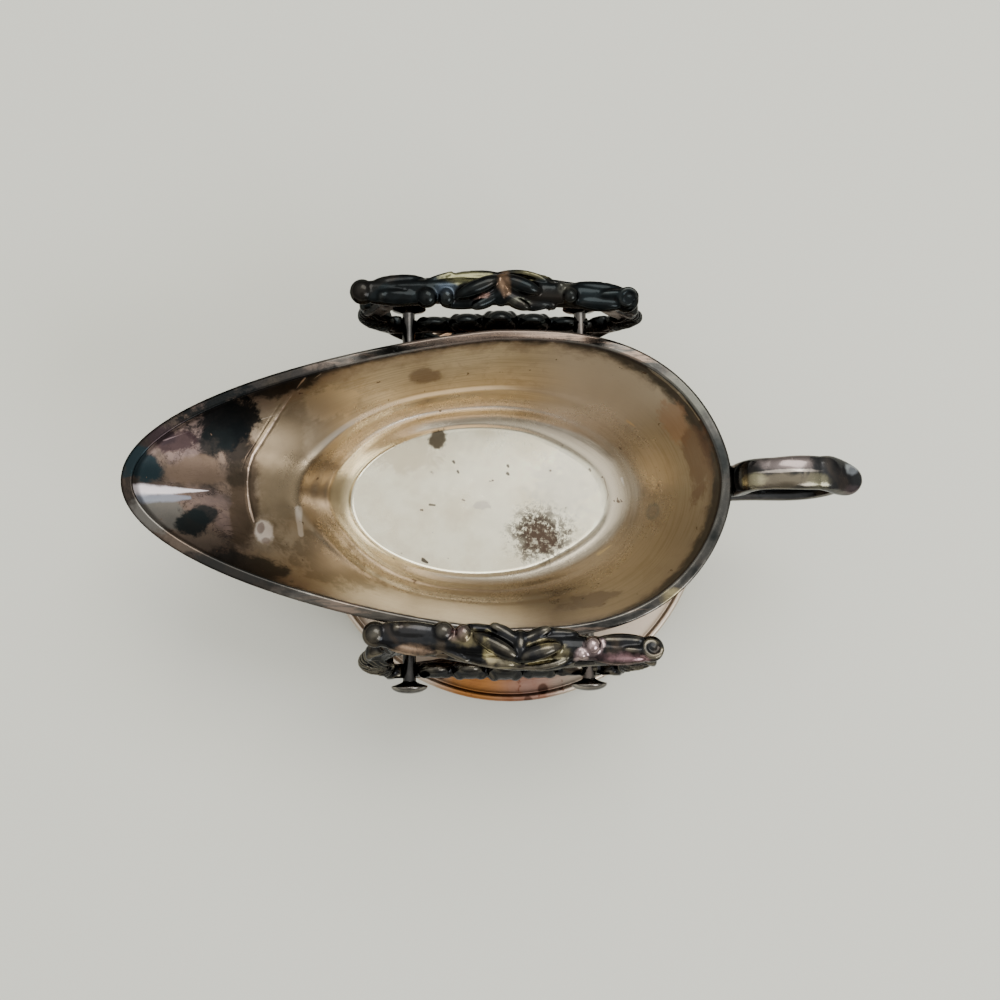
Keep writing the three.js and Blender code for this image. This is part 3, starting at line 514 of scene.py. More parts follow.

# %% [markdown]
# The finish of the body is built up in the order in which the plate has aged: silver on the floor, champagne on
# the wall, the dark rim, the spout, then stains, creases and specks. Painted highlights (arcs on the steps, the
# droplet, the creases, many marks) and painted shade on the near wall are laid in among them.


# %% Finish of the body
def body_finish():
    f = Finish("tarnished_plate")
    wall, inside, wiping = f.kept("wall"), f.kept("inside"), f.kept("wiping", "Vector")
    axes = f.add("ShaderNodeSeparateXYZ", {"Vector": f.place})
    x, y = (f.math("DIVIDE", axes.outputs[k], MM) for k in ("X", "Y"))
    clouds = f.noise(38, 6, 0.6, warp=0.4)
    grain = f.noise(420, 5, 0.7)
    champagne, fine = wall_film_and_painted_light(f, clouds, x, y, wall, wiping)
    silver = f.mix(f.ramp(f.noise(60, 6, 0.62), 0.35, 0.7), (237, 231, 206), (219, 209, 182))
    colour = f.mix(f.ramp(wall, 0.0, 0.045), silver, f.mix(f.ramp(wall, 0.04, 0.2), (214, 201, 178), champagne))
    edge = f.plus(wall, f.scaled(f.ragged_edge(), 0.36, -0.18))
    colour = f.layer(colour, (134, 112, 98), f.ramp(edge, 0.84, 1.0), 0.6)
    dark_rim = f.plus(wall, f.scaled(f.ragged_edge(), 0.14, -0.07))
    dark_rim = f.plus(dark_rim, f.times(f.ramp(x, 10, 60), 0.08))
    colour = f.layer(colour, (60, 57, 54), f.ramp(dark_rim, 0.95, 1.03), 0.9)
    spout = f.plus(x, f.scaled(f.ragged_edge(), 14, -7))
    colour = f.layer(colour, spout_tarnish(f, clouds), f.ramp(spout, -70, -86), inside)
    # Stains are the plate's own tarnish. The droplet list is a painted highlight.
    for centre, size, ragged, tone, share in STAINS + SPOUT_STAINS + DROPLET_HIGHLIGHT:
        colour = f.layer(colour, tone, f.patch(centre, size, ragged), share)
    # Creases and marks: painted highlights, painted shade beside the creases, and tarnish streaks and specks.
    for start, end, width, taper, tone, share in CREASE_HIGHLIGHTS + MARKS_AND_HIGHLIGHTS:
        colour = f.layer(colour, tone, f.stroke(start, end, width, taper), share)
    blot = f.patch((14.6, -12.6, 21.9), (10.8, 9.8, 6), 0.35, 0.5)
    crumbs = f.ramp(f.plus(f.noise(560, 6, 0.85), f.times(blot, 0.09)), 0.53, 0.555)
    colour = f.layer(colour, (50, 36, 30), f.times(blot, crumbs), 0.95)
    core = f.patch((14.0, -14.0, 21.9), (5.4, 5.0, 6), 0.5, 0.4)
    colour = f.layer(colour, (84, 66, 54), core, 0.5)
    specks = f.times(f.ramp(f.noise(230, 3, 0.6), 0.70, 0.72), 0.85)
    colour = f.mix(specks, colour, (96, 78, 64))
    outside = f.mix(f.ramp(clouds, 0.4, 0.62), (168, 150, 132), (112, 96, 86))
    colour = f.mix(inside, outside, colour)
    rough = f.scaled(f.ramp(clouds, 0.3, 0.7), 0.07, f.scaled(f.ramp(wall, 0.1, 0.9), 0.12, 0.19))
    rough = f.scaled(f.ramp(grain, 0.4, 0.7), 0.05, rough)
    bump = f.scaled(fine, 0.45, f.times(f.noise(55, 3, 0.5), 0.8))
    for start, end, width, taper, tone, share in CREASE_HIGHLIGHTS:
        bump = f.scaled(f.stroke(start, end, 2.2 * width, taper, 0.9), 3.5, bump)
    bump = f.scaled(f.patch((-77, -14.2, 56.6), (2.6, 4.4, 4), 0.3, 0.8), 9, bump)
    return f.finish(colour, rough, bump, 0.1, 0.0003)


print("the body's finish waits for its lists of stains and marks")

# %% [markdown]
# The lists say where the old stains lie: centre, half sizes, how ragged, colour and strength. The droplet is a
# painted highlight: a pale drop with two darker spots. A crease or a mark has two ends, a width, how much it
# tapers, a colour and a strength. The creases follow one bent line on the spout's throat: a painted highlight
# along it, and painted shade beside it. Many marks are painted highlights; the rest are tarnish streaks and
# specks.

# %% Stains and marks on the body
STAINS = [
    ((-56, -23, 47), (20, 11, 12), 0.8, (108, 94, 74), 0.6),
    ((-57, 29, 53), (14, 6, 8), 0.7, (216, 196, 164), 0.6),
    ((-34, 18, 22), (12, 8, 3), 0.6, (200, 187, 160), 0.65),
    ((23, 4, 22), (11, 12, 3), 0.7, (214, 208, 190), 0.6),
    ((-22.1, 22.0, 21.9), (3.1, 3.4, 3), 0.6, (60, 50, 36), 0.92),
    ((-26.2, 39, 47.9), (4.8, 5, 5), 0.4, (124, 104, 88), 0.7),
    ((28.9, -37.5, 43.8), (11, 5, 6), 0.6, (128, 112, 100), 0.75),
    ((52.9, -6.1, 33.2), (3.2, 3.2, 3), 0.2, (140, 138, 128), 0.65),
    ((52.9, -6.1, 33.2), (1.8, 1.8, 2), 0.2, (170, 154, 136), 0.6),
    ((57.4, 22.1, 53.9), (6, 7, 8), 0.7, (186, 138, 108), 0.45),
    ((64, 12, 56), (4, 18, 9), 0.6, (118, 90, 74), 0.6),
    ((-7, -2, 21.9), (3.6, 1.6, 2), 0.8, (190, 182, 170), 0.7),
]
SPOUT_STAINS = [
    ((-72, 8, 54), (9, 24, 11), 0.4, (124, 108, 84), 0.7),
    ((-71, 31.5, 69), (28, 5, 6.5), 0.45, (34, 33, 32), 0.9),
    ((-83.5, -2, 58.5), (4.2, 24, 9), 0.4, (74, 62, 50), 0.85),
    ((-85.6, 12, 61), (4.4, 7.5, 7), 0.6, (34, 31, 28), 0.9),
    ((-85.4, 4.5, 58.5), (3.4, 5, 6), 0.5, (52, 46, 39), 0.7),
    ((-80, -26, 67), (22, 4.6, 7), 0.45, (42, 42, 41), 0.85),
    ((-95, -17, 68.5), (9, 4, 6), 0.5, (98, 86, 76), 0.7),
    ((-87, 20.5, 68), (11, 9, 9), 0.8, (13, 16, 17), 0.95),
    ((-91.4, 13.5, 65), (5.5, 5, 5), 0.5, (20, 23, 23), 0.9),
    ((-97.2, 4.3, 64.8), (9, 4.6, 7), 0.4, (100, 84, 71), 0.85),
    ((-102.2, 12.2, 71), (7.6, 3.8, 6), 0.6, (46, 35, 36), 0.9),
    ((-106, 14.6, 73), (5, 3, 4), 0.7, (44, 36, 38), 0.8),
    ((-111, 4.4, 73), (5, 4.6, 6), 0.6, (30, 42, 46), 0.95),
    ((-105.5, -9.8, 71.4), (8, 5, 6), 0.4, (102, 99, 94), 0.85),
    ((-96.4, -12.6, 67), (4.8, 4.2, 5), 0.65, (25, 30, 31), 0.95),
    ((-94.0, -9.6, 65), (4.4, 3.2, 5), 0.4, (30, 35, 36), 0.9),
]
# Painted highlight: a pale drop on the spout's throat, with two darker spots in it.
DROPLET_HIGHLIGHT = [
    ((-77, -14.2, 56.8), (2.7, 4.6, 4), 0.3, (242, 228, 214), 0.85),
    ((-78.2, -13.2, 56.6), (1.1, 2.0, 3), 0.4, (106, 84, 78), 0.7),
    ((-76.2, -17.2, 58), (1.4, 1.2, 3), 0.4, (112, 90, 82), 0.6),
]
# The crease on the spout's throat: a pale painted highlight along it, and a darker line of painted shade just
# beside it. The bump also raises a low ridge along it.
crease = smooth_path([(-63, 33.3, 67.4), (-70.3, 26, 60.9), (-76.9, 16.6, 58), (-81.8, 8.7, 57),
                      (-82.4, -3.8, 56), (-80.4, -11, 56.9)], 13)
shade_beside_crease = crease[1:9] + [-2, -0.8, 1]
CREASE_HIGHLIGHTS = [(a, b, 0.6, 0, (212, 188, 168), 0.75) for a, b in zip(crease, crease[1:])]
CREASE_HIGHLIGHTS += [(a, b, 0.3, 0, (150, 128, 110), 0.5) for a, b in zip(shade_beside_crease, shade_beside_crease[1:])]
MARKS_AND_HIGHLIGHTS = [
    # Dark and tinted streaks of tarnish on the spout and the rim.
    ((-108.8, 8.0, 72.6), (-100.4, 14.6, 71.4), 0.45, 0.3, (34, 28, 30), 0.7),
    ((-105.2, 12.6, 72.2), (-96.8, 16.2, 69.6), 0.4, 0.3, (112, 96, 96), 0.6),
    ((-108.4, 13.8, 73.4), (-101.6, 17.8, 73.2), 0.5, 0.3, (124, 110, 110), 0.55),
    ((-103.0, 9.4, 69.8), (-95.2, 10.2, 66.6), 0.5, 0.5, (42, 34, 34), 0.7),
    ((-104.6, -16.6, 72.6), (-96.0, -20.0, 70.6), 0.5, 0.3, (60, 58, 56), 0.6),
    ((-88.4, -24.0, 69.4), (-70.0, -32.0, 67.6), 0.5, 0.4, (126, 116, 106), 0.5),
    ((-82.0, 26.8, 70.6), (-62.0, 36.4, 69.2), 0.45, 0.4, (104, 98, 92), 0.55),
    # Painted highlights: the pale streak along the spout's tip, and its bluish lower edge.
    ((-113.6, -3.1, 74.2), (-93.0, -1.6, 62.2), 4.2, 0.97, (232, 222, 226), 0.92),
    ((-112.6, -5.6, 73.4), (-98.5, -4.2, 65.8), 3.6, 0.6, (136, 140, 152), 0.75),
    # Painted highlights: a pale band on the spout's throat, thin pale lines beside the crease, a streak on the
    # rim's far right, and bright streaks on the right wall.
    ((-67.7, -6.0, 47.0), (-66.6, -14.6, 49.8), 2.6, 0.3, (226, 213, 197), 0.65),
    ((-66, 26, 58), (-77.5, 21.4, 61.5), 0.4, 0.4, (214, 198, 178), 0.6),
    ((-58.1, 34.8, 67), (-66, 30, 63), 0.35, 0.4, (214, 198, 178), 0.6),
    ((47.0, 37.0, 65.2), (56.3, 28.4, 65.4), 1.1, 0.2, (206, 198, 178), 0.55),
    ((56.3, 28.4, 65.4), (62.6, 19.5, 65.5), 1.1, 0.6, (206, 198, 178), 0.55),
    ((44.6, 25.6, 37.2), (46.8, 22.8, 38.2), 1.5, 0.6, (240, 214, 170), 0.75),
    ((34.5, -20.2, 25.6), (39.0, -17.2, 26.2), 1.5, 0.6, (240, 218, 172), 0.7),
    ((43.7, 7.0, 25.0), (44.4, 3.4, 25.2), 0.9, 0.3, (232, 222, 206), 0.65),
    # The plate's own marks again: a line at the floor's right edge and dark specks on the floor.
    ((37.7, 7.6, 22.6), (39.0, 1.5, 22.5), 0.5, 0.2, (150, 136, 112), 0.6),
    ((39.0, 1.5, 22.5), (37.6, -4.0, 22.2), 0.5, 0.2, (150, 136, 112), 0.6),
    ((-25.2, -1.5, 21.9), (-23.4, -1.7, 21.9), 1.0, 0.3, (78, 68, 56), 0.85),
    ((-16.6, 14.1, 21.9), (-16.3, 13.6, 21.9), 1.0, 0.2, (60, 50, 42), 0.85),
    ((-15.1, 10.6, 21.9), (-14.8, 10.0, 21.9), 0.9, 0.2, (60, 50, 42), 0.85),
    ((3.0, 12.5, 21.9), (3.2, 12.1, 21.9), 1.1, 0.2, (60, 50, 42), 0.85),
    ((2.8, 9.6, 21.9), (3.2, 9.2, 21.9), 1.2, 0.2, (60, 50, 42), 0.85),
    ((-13.4, 0.2, 21.9), (-12.8, -0.1, 21.9), 0.7, 0.2, (90, 78, 66), 0.7),
    ((-27.6, -21.3, 21.9), (-26.2, -22.2, 21.9), 1.3, 0.3, (48, 40, 34), 0.9),
    ((32.6, 10.9, 21.9), (32.9, 10.3, 21.9), 0.8, 0.2, (96, 84, 70), 0.7),
]
body.data.materials.append(body_finish())
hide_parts("boat_body")
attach(body, "boat")
print("stains on the body:", len(STAINS + SPOUT_STAINS + DROPLET_HIGHLIGHT) + 1, "and marks:", len(CREASE_HIGHLIGHTS + MARKS_AND_HIGHLIGHTS))

# %% [markdown]
# ## Dark plate
# The rim, handle, pins and castings carry the oldest tarnish. It is nearly black in the hollows,
# with blue, brown and purple films, and bare metal shows where hands and cloths rub it. A value
# called "raised", measured on each mesh, says which points stand proud.


# %% Finish of the castings
def raised_points(mesh, rounds=3):
    """How far each point stands out from its neighbours, smoothed and scaled to about -1 to 1."""
    count = len(mesh.vertices)
    place = np.empty(count * 3, np.float64)
    mesh.vertices.foreach_get("co", place)
    place = place.reshape(-1, 3)
    normal = np.empty(count * 3)
    mesh.vertices.foreach_get("normal", normal)
    normal = normal.reshape(-1, 3)
    ends = np.empty(len(mesh.edges) * 2, np.int64)
    mesh.edges.foreach_get("vertices", ends)
    a, b = ends.reshape(-1, 2).T
    links = np.maximum(np.bincount(np.r_[a, b], minlength=count), 1)

    def around(values):
        return np.bincount(np.r_[a, b], np.r_[values[b], values[a]], minlength=count) / links

    soft = place
    for _ in range(rounds):
        soft = np.stack([around(soft[:, k]) for k in range(3)], axis=1)
    proud = ((place - soft) * normal).sum(axis=1)
    for _ in range(2):
        proud = (proud + around(proud)) / 2
    proud /= np.percentile(np.abs(proud), 90) + 1e-12
    keep_on_points(mesh, "raised", np.clip(proud, -1.5, 1.5))


def rim_tones(f, colour, clouds):
    """Streaks along both sides of the rim, and the spout's tarnish and stains at its tip."""
    axes = f.add("ShaderNodeSeparateXYZ", {"Vector": f.place}).outputs
    sideways = f.ramp(f.math("ABSOLUTE", axes["Y"]), 0.030, 0.042)
    streaks = f.noise(230, 6, 0.7, stretch=(0.1, 1, 1), warp=0.2)
    light, dark = f.ramp(streaks, 0.52, 0.62), f.ramp(streaks, 0.46, 0.36)
    colour = f.layer(colour, (150, 128, 112), f.times(light, sideways), 0.5)
    colour = f.layer(colour, (44, 41, 40), f.times(dark, sideways), 0.6)
    tip = f.mix(0.55, spout_tarnish(f, clouds), (24, 24, 24))
    colour = f.mix(f.ramp(axes["X"], -0.062, -0.090), colour, tip)
    for centre, size, ragged, tone, share in SPOUT_STAINS:
        tall = [s * grow for s, grow in zip(size, (1.1, 1.25, 2))]
        colour = f.layer(colour, tone, f.patch(centre, tall, ragged), share)
    return colour


def dark_finish(name, deep, film, warm, rubbed, wear=0.5, rough=0.24, patches=(), coat=0.5, rim=False):
    """Deep, film and warm are the tones of the tarnish; rubbed is the metal that wear lays bare."""
    f = Finish(name)
    raised = f.kept("raised")
    clouds = f.noise(75, 5, 0.6, warp=0.5)
    colour = f.mix(f.ramp(clouds, 0.38, 0.62), deep, film)
    colour = f.layer(colour, warm, f.ramp(f.noise(48, 4, 0.6, at=(3, 1, 2), warp=0.6), 0.52, 0.68), 0.8)
    proud = f.plus(raised, f.scaled(f.noise(130, 4, 0.6), 1.6, -0.8))
    colour = f.layer(colour, rubbed, f.ramp(proud, 0.3, 1.4), wear)
    colour = f.mix(f.ramp(raised, -0.1, -1.0), colour, (16, 16, 16))
    # Patches: tones of the tarnish, and painted highlights where the lists say so.
    for centre, size, tone, share in patches:
        colour = f.layer(colour, tone, f.patch(centre, size, 0.5, 0.4), share)
    if rim:
        colour = rim_tones(f, colour, clouds)
    f.shader.inputs["Specular Tint"].default_value = tint((95, 95, 98) if rim else (150, 150, 154))
    f.shader.inputs["Coat Weight"].default_value = coat
    f.shader.inputs["Coat Roughness"].default_value = 0.1
    specks = f.ramp(f.noise(600, 3, 0.6), 0.62, 0.7)
    roughness = f.scaled(specks, 0.14, f.scaled(clouds, 0.2, rough - 0.08))
    bump = f.scaled(f.noise(340, 4, 0.65), 0.5, f.noise(120, 2, 0.5))
    return f.finish(colour, roughness, bump, 0.22, 0.00025)


print("finish of the castings ready")

# %% [markdown]
# Patches are places on the castings that the photograph shows lighter, warmer or bluer than the
# rest: centre, half sizes, colour and strength. The two frames have been handled differently, so
# each has its own list and its own amount of wear.

# %% Patches of the castings
FAR_PATCHES_AND_HIGHLIGHT = [
    ((-11.5, 54.8, 98), (7.5, 2.2, 5), (118, 116, 86), 0.75),
    ((8, 56, 98), (6, 2, 5), (96, 92, 66), 0.7),
    ((-1.1, 52.9, 99), (2.2, 3.6, 5), (118, 94, 74), 0.85),
    ((-7.5, 49.4, 97), (4.2, 1.5, 3), (166, 130, 118), 0.65),
    ((3, 47.6, 97), (4, 1.5, 3), (118, 120, 106), 0.5),
    # A painted highlight: blue-grey on the leafy bulge left of the middle.
    ((-18.2, 50.8, 98), (3, 2.4, 4), (62, 72, 84), 0.7),
    ((16.4, 51.2, 98), (2.2, 2.2, 4), (110, 108, 98), 0.5),
]
NEAR_PATCHES_AND_HIGHLIGHTS = [
    ((-13.6, -48.6, 98), (3.6, 2.4, 4), (118, 108, 78), 0.7),
    # Painted highlights: yellow and gold on the petals each side of the middle.
    ((-7, -50.8, 98), (1.7, 3.4, 4), (206, 192, 140), 0.8),
    ((-5.9, -53.6, 97), (1.6, 2.4, 4), (190, 176, 136), 0.7),
    ((4.7, -54.6, 96), (7, 1.6, 4), (196, 186, 150), 0.85),
    ((8.8, -51.2, 98), (5, 1.8, 4), (176, 162, 118), 0.75),
    ((12.5, -53, 98), (3.2, 2, 4), (150, 140, 106), 0.6),
    ((-2.2, -56, 95), (3, 2, 4), (150, 140, 112), 0.6),
    # Painted highlights: pink on two beads and on the stem at the right.
    ((22, -51.2, 99.5), (2.4, 2.4, 3), (190, 166, 166), 0.75),
    ((18.6, -53.6, 98.5), (1.9, 1.9, 3), (190, 166, 166), 0.7),
    ((30, -54.6, 97), (7, 1.8, 4), (168, 132, 136), 0.75),
    # A painted highlight: gold on the lower bar at the left.
    ((-28.6, -51.5, 97), (5.5, 1.8, 4), (180, 150, 124), 0.75),
    # The dark upper bar, a purple ball, the grey lower ledge and a brown leaf.
    ((-28.5, -47, 99), (6, 1.8, 4), (46, 46, 48), 0.8),
    ((-15.3, -46.7, 99), (2.6, 2.6, 4), (120, 98, 96), 0.6),
    ((-12, -55.8, 94), (16, 1.8, 4), (136, 128, 116), 0.55),
    ((16, -57.5, 94), (14, 1.8, 4), (128, 124, 116), 0.55),
    ((-20, -52, 96), (2, 4, 4), (128, 112, 92), 0.5),
]
far_plate = dark_finish("cast_plate_far", (11, 14, 15), (20, 26, 28), (38, 33, 28), (80, 80, 74),
                        wear=0.2, rough=0.2, patches=FAR_PATCHES_AND_HIGHLIGHT, coat=0.16)
near_plate = dark_finish("cast_plate_near", (16, 17, 18), (34, 35, 38), (62, 52, 42), (138, 130, 112),
                         wear=0.5, rough=0.2, patches=NEAR_PATCHES_AND_HIGHLIGHTS, coat=0.25)
RIM_PATCHES_AND_HIGHLIGHT = [
    ((-10, 49, 67), (38, 5, 6), (116, 99, 88), 0.65),
    ((52.6, -37.4, 67), (5, 3, 5), (150, 138, 104), 0.8),
    ((70, 4, 67), (16, 40, 8), (22, 27, 27), 0.4),
    # A painted highlight: the paler far-right end of the rim.
    ((61, 29, 67), (9, 9, 5), (92, 92, 84), 0.5),
    ((-44, -41, 69), (20, 7, 6), (96, 90, 82), 0.5),
    ((-98, 20, 73), (14, 6, 8), (40, 38, 38), 0.6),
    ((-80, 29, 71), (32, 7, 8), (15, 19, 20), 0.95),
    ((-84, -28, 71), (24, 7, 8), (26, 28, 27), 0.85),
]
rim_plate = dark_finish("rim_plate", (40, 41, 40), (72, 70, 67), (88, 76, 68), (170, 164, 154),
                        wear=0.45, rough=0.2, patches=RIM_PATCHES_AND_HIGHLIGHT, coat=0.08, rim=True)
pin_plate = dark_finish("pin_plate", (36, 35, 34), (76, 72, 68), (100, 88, 80), (176, 170, 160),
                        wear=0.6, rough=0.18)
print("dark finishes:", far_plate.name, near_plate.name, rim_plate.name, pin_plate.name)

# %% [markdown]
# ## Geometry nodes for what repeats
# A node tree is built in Python like any other data: sockets first, then nodes, then links. The
# helper below keeps that short. The result is turned into a plain mesh straight away, so that
# no modifier is left on the piece.


# %% Helpers for node trees
class Tree(Nodes):
    """A tree of geometry nodes with named inputs, such as an object, a length or a material."""

    def __init__(self, name, **sockets):
        super().__init__(bpy.data.node_groups.new(name, "GeometryNodeTree"))
        face = self.tree.interface
        kinds = {"f": "NodeSocketFloat", "i": "NodeSocketInt", "o": "NodeSocketObject", "m": "NodeSocketMaterial"}
        self.names = {}
        for label, kind in sockets.items():
            made = face.new_socket(label, in_out="INPUT", socket_type=kinds[kind])
            self.names[label] = made.identifier
        face.new_socket("Geometry", in_out="OUTPUT", socket_type="NodeSocketGeometry")
        self.inputs = self.tree.nodes.new("NodeGroupInput").outputs

    def add(self, kind, inputs=None, **settings):
        return super().add(kind if kind.startswith("Shader") else "GeometryNode" + kind, inputs, **settings)

    def axes(self, **parts):
        return self.add("ShaderNodeCombineXYZ", parts).outputs[0]

    def shape_of(self, label):
        """The geometry of the object that is given to an input of the tree."""
        return self.add("ObjectInfo", {"Object": self.inputs[label]}).outputs["Geometry"]

    def close(self, geometry, material):
        real = self.add("RealizeInstances", {"Geometry": geometry})
        done = self.add("SetMaterial", {"Geometry": real.outputs[0], "Material": material})
        self.put(self.tree.nodes.new("NodeGroupOutput").inputs[0], done.outputs[0])

    def run(self, carrier, name, **values):
        """Evaluates the tree on an object and returns the result as a plain mesh object."""
        modifier = carrier.modifiers.new("shape", "NODES")
        modifier.node_group = self.tree
        for label, value in values.items():
            modifier[self.names[label]] = value
        return settled(carrier, name)


def settled(carrier, name):
    """A new object with the evaluated mesh of the carrier, which is then removed."""
    bpy.context.view_layer.update()
    ready = carrier.evaluated_get(bpy.context.evaluated_depsgraph_get())
    mesh = bpy.data.meshes.new_from_object(ready)
    mesh.name = name
    mesh.polygons.foreach_set("use_smooth", [True] * len(mesh.polygons))
    piece = add_object(name, mesh)
    bpy.data.objects.remove(carrier)
    return piece


def empty_carrier(name):
    return add_object(name, bpy.data.meshes.new(name))


print("node helpers ready")

# %% [markdown]
# ## Wires on the rim and on the dish
# Both edges are stiffened with a soldered wire. In nodes that is a curve with a section swept
# along it. The rim's curve has a point for each side of the body, so the two meet exactly.


# %% Swept wires
def curve_through(name, points):
    data = bpy.data.curves.new(name, "CURVE")
    data.dimensions = "3D"
    line = data.splines.new("POLY")
    line.points.add(len(points) - 1)
    line.points.foreach_set("co", [c for p in points for c in (*(np.array(p) * MM), 1.0)])
    line.use_cyclic_u = True
    return add_object(name, data)


def wire_tree():
    tree = Tree("soldered_wire", Path="o", Section="o", Finish="m")
    upright = tree.add("SetCurveNormal", {"Curve": tree.shape_of("Path")}, mode="Z_UP").outputs["Curve"]
    swept = tree.add("CurveToMesh", {"Curve": upright, "Profile Curve": tree.shape_of("Section")})
    tree.close(swept.outputs["Mesh"], tree.inputs["Finish"])
    return tree


soldered_wire = wire_tree()


def wire(name, path_points, section_points, finish):
    path, section = curve_through("path", path_points), curve_through("section", section_points)
    piece = soldered_wire.run(empty_carrier(name + "_path"), name, Path=path, Section=section, Finish=finish)
    for spare in (path, section):
        bpy.data.objects.remove(spare)
    turn_faces_out(piece.data)
    raised_points(piece.data)
    return piece


RIM_WIRE_WIDTH, RIM_WIRE_HEIGHT, SOLDER_GAP = 3.4, 2.0, 0.3
half_round = [(-RIM_WIRE_WIDTH / 2 * math.cos(a), RIM_WIRE_HEIGHT * math.sin(a) ** 0.8, 0)
              for a in np.linspace(0, math.pi, 17)]
half_round += [(x, 0, 0) for x in (0.9, 0.0, -0.9)]
rim_path = np.stack([rim_x - RIM_WIRE_WIDTH / 2 * out_x, rim_y - RIM_WIRE_WIDTH / 2 * out_y,
                     rim_height(rim_x) + SOLDER_GAP], axis=1)
rim_wire = wire("rim_wire", rim_path, half_round, rim_plate)
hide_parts("boat_rim_wire")
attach(rim_wire, "boat")
print("rim wire:", [round(v / MM, 1) for v in rim_wire.dimensions])

# %% [markdown]
# ## The handle
# It is cast in one piece: a strap with a ridge down its outer side, bent into a loop, a leaf on
# top for the thumb, and a small shoulder that stands behind the rim. Rings are laid along each,
# and the strap's section is written as a formula. A voxel remesh fuses the three. The roots run
# into the wall, and a boolean cuts them to the wall's outer skin.

# %% Handle
HANDLE_WIDTH, HANDLE_THICKNESS, HANDLE_REACH, HANDLE_RISE, HANDLE_FOOT_DROP = 10.6, 3.8, 33, 12.5, 18.5
LEAF_WIDTH, LEAF_THICKNESS, LEAF_SHIFT, LEAF_SHIFT_FROM, LEAF_SHIFT_TO = 11.4, 4.8, 1.3, 98, 109
SHOULDER = [(73.6, 64.0), (74.0, 69.0), (75.0, 73.6), (77.6, 76.9), (82.0, 78.6)]
SHOULDER_THICKNESS, HANDLE_VOXEL, FRAME_VOXEL = 3.4, 0.32, 0.42


def strap(places, count, width, thick, ridge=0.3, sides=28):
    """A swept strap in the X-Z plane. Width and thickness are functions of the way along."""
    line = smooth_path(places, count)
    tangent = np.gradient(line, axis=0)
    tangent /= np.linalg.norm(tangent, axis=1, keepdims=True)
    turn = np.linspace(0, 2 * math.pi, sides, endpoint=False)
    cos, sin = np.cos(turn), np.sin(turn)
    across = np.sign(cos) * np.abs(cos) ** 0.7 / 2
    out = np.where(sin > 0, np.abs(sin) ** (0.75 + ridge), -np.abs(sin) ** 0.35) / 2
    rings = []
    for k, (middle, (tx, tz)) in enumerate(zip(line, tangent)):
        u = k / (count - 1)
        y, away = across * width(u), out * thick(u)
        rings.append(np.stack([middle[0] - tz * away, y, middle[1] + tx * away], axis=1))
    return rings


def envelope(gap):
    """The boat's outer form as a full solid, grown by a gap."""
    rings, _ = skin_rings(SHEET_BOAT + gap)
    level = rim_height(rim_x) + RIM_WIRE_HEIGHT + gap
    top = np.stack([rim_x + gap * out_x, rim_y + gap * out_y, level], axis=1)
    rings = [ring[::3] for ring in rings[4:] + [top]]
    return new_piece("envelope", *skin(rings))


def cut_away(piece, cutter, name):
    modifier = piece.modifiers.new("cut", "BOOLEAN")
    modifier.operation, modifier.solver, modifier.object = "DIFFERENCE", "EXACT", cutter
    return settled(piece, name)


def handle_loop():
    x, z = RIM_REAR_X, RIM_HEIGHT + REAR_RISE
    reach, rise, drop = HANDLE_REACH, HANDLE_RISE, HANDLE_FOOT_DROP
    under, top = z - SHEET_BOAT - SOLDER_GAP - 0.55 * HANDLE_THICKNESS, z + rise
    return [
        (x - 6, under), (x + 0.07 * reach, under + 0.05 * rise), (x + 0.14 * reach, z + 0.36 * rise),
        (x + 0.22 * reach, z + 0.78 * rise), (x + 0.36 * reach, z + 0.97 * rise),
        (x + 0.6 * reach, top), (x + 0.84 * reach, z + 0.76 * rise),
        (x + reach, z + 0.22 * rise), (x + reach, z - 0.26 * drop), (x + 0.86 * reach, z - 0.6 * drop),
        (x + 0.56 * reach, z - 0.84 * drop), (x + 0.24 * reach, z - 0.95 * drop), (x - 10, z - drop)]


def thumb_leaf():
    x, top = RIM_REAR_X, RIM_HEIGHT + REAR_RISE + HANDLE_RISE
    reach, rise = HANDLE_REACH, HANDLE_RISE
    return [
        (x + 0.6 * reach, top - 0.04 * rise), (x + 0.8 * reach, top - 0.14 * rise),
        (x + 0.94 * reach, top - 0.36 * rise), (x + reach + 1.2, top - 0.5 * rise),
        (x + reach + 4.2, top - 0.55 * rise), (x + reach + 6.5, top - 0.54 * rise)]


def handle_mesh():
    loop = strap(handle_loop(), 150, lambda u: HANDLE_WIDTH * (0.94 + 0.06 * math.cos(6 * math.pi * u)),
                 lambda u: HANDLE_THICKNESS)

    def blunt(u):
        return max(0.03, 1 - (max(0, u - 0.66) / 0.34) ** 2.6) ** 0.42

    def leaf_width(u):
        return LEAF_WIDTH * (0.84 + 0.16 * math.sin(math.pi * (1.15 * u - 0.1))) * blunt(u)

    def leaf_thickness(u):
        return LEAF_THICKNESS * (0.7 + 0.3 * math.sin(math.pi * u)) * blunt(u)

    leaf_rings = strap(thumb_leaf(), 70, leaf_width, leaf_thickness, 0.15)
    for ring in leaf_rings:
        ring[:, 1] -= LEAF_SHIFT * step(ring[:, 0].mean(), LEAF_SHIFT_FROM, LEAF_SHIFT_TO)
    shoulder = strap(SHOULDER, 30, lambda u: HANDLE_WIDTH * (0.97 - 0.05 * u),
                     lambda u: SHOULDER_THICKNESS, 0.2)
    return [skin(loop), skin(leaf_rings), skin(shoulder)]


def joined_points(parts):
    points, faces = [], []
    for part_points, part_faces in parts:
        faces += [tuple(len(points) + i for i in face) for face in part_faces]
        points += [tuple(p) for p in part_points]
    return points, faces


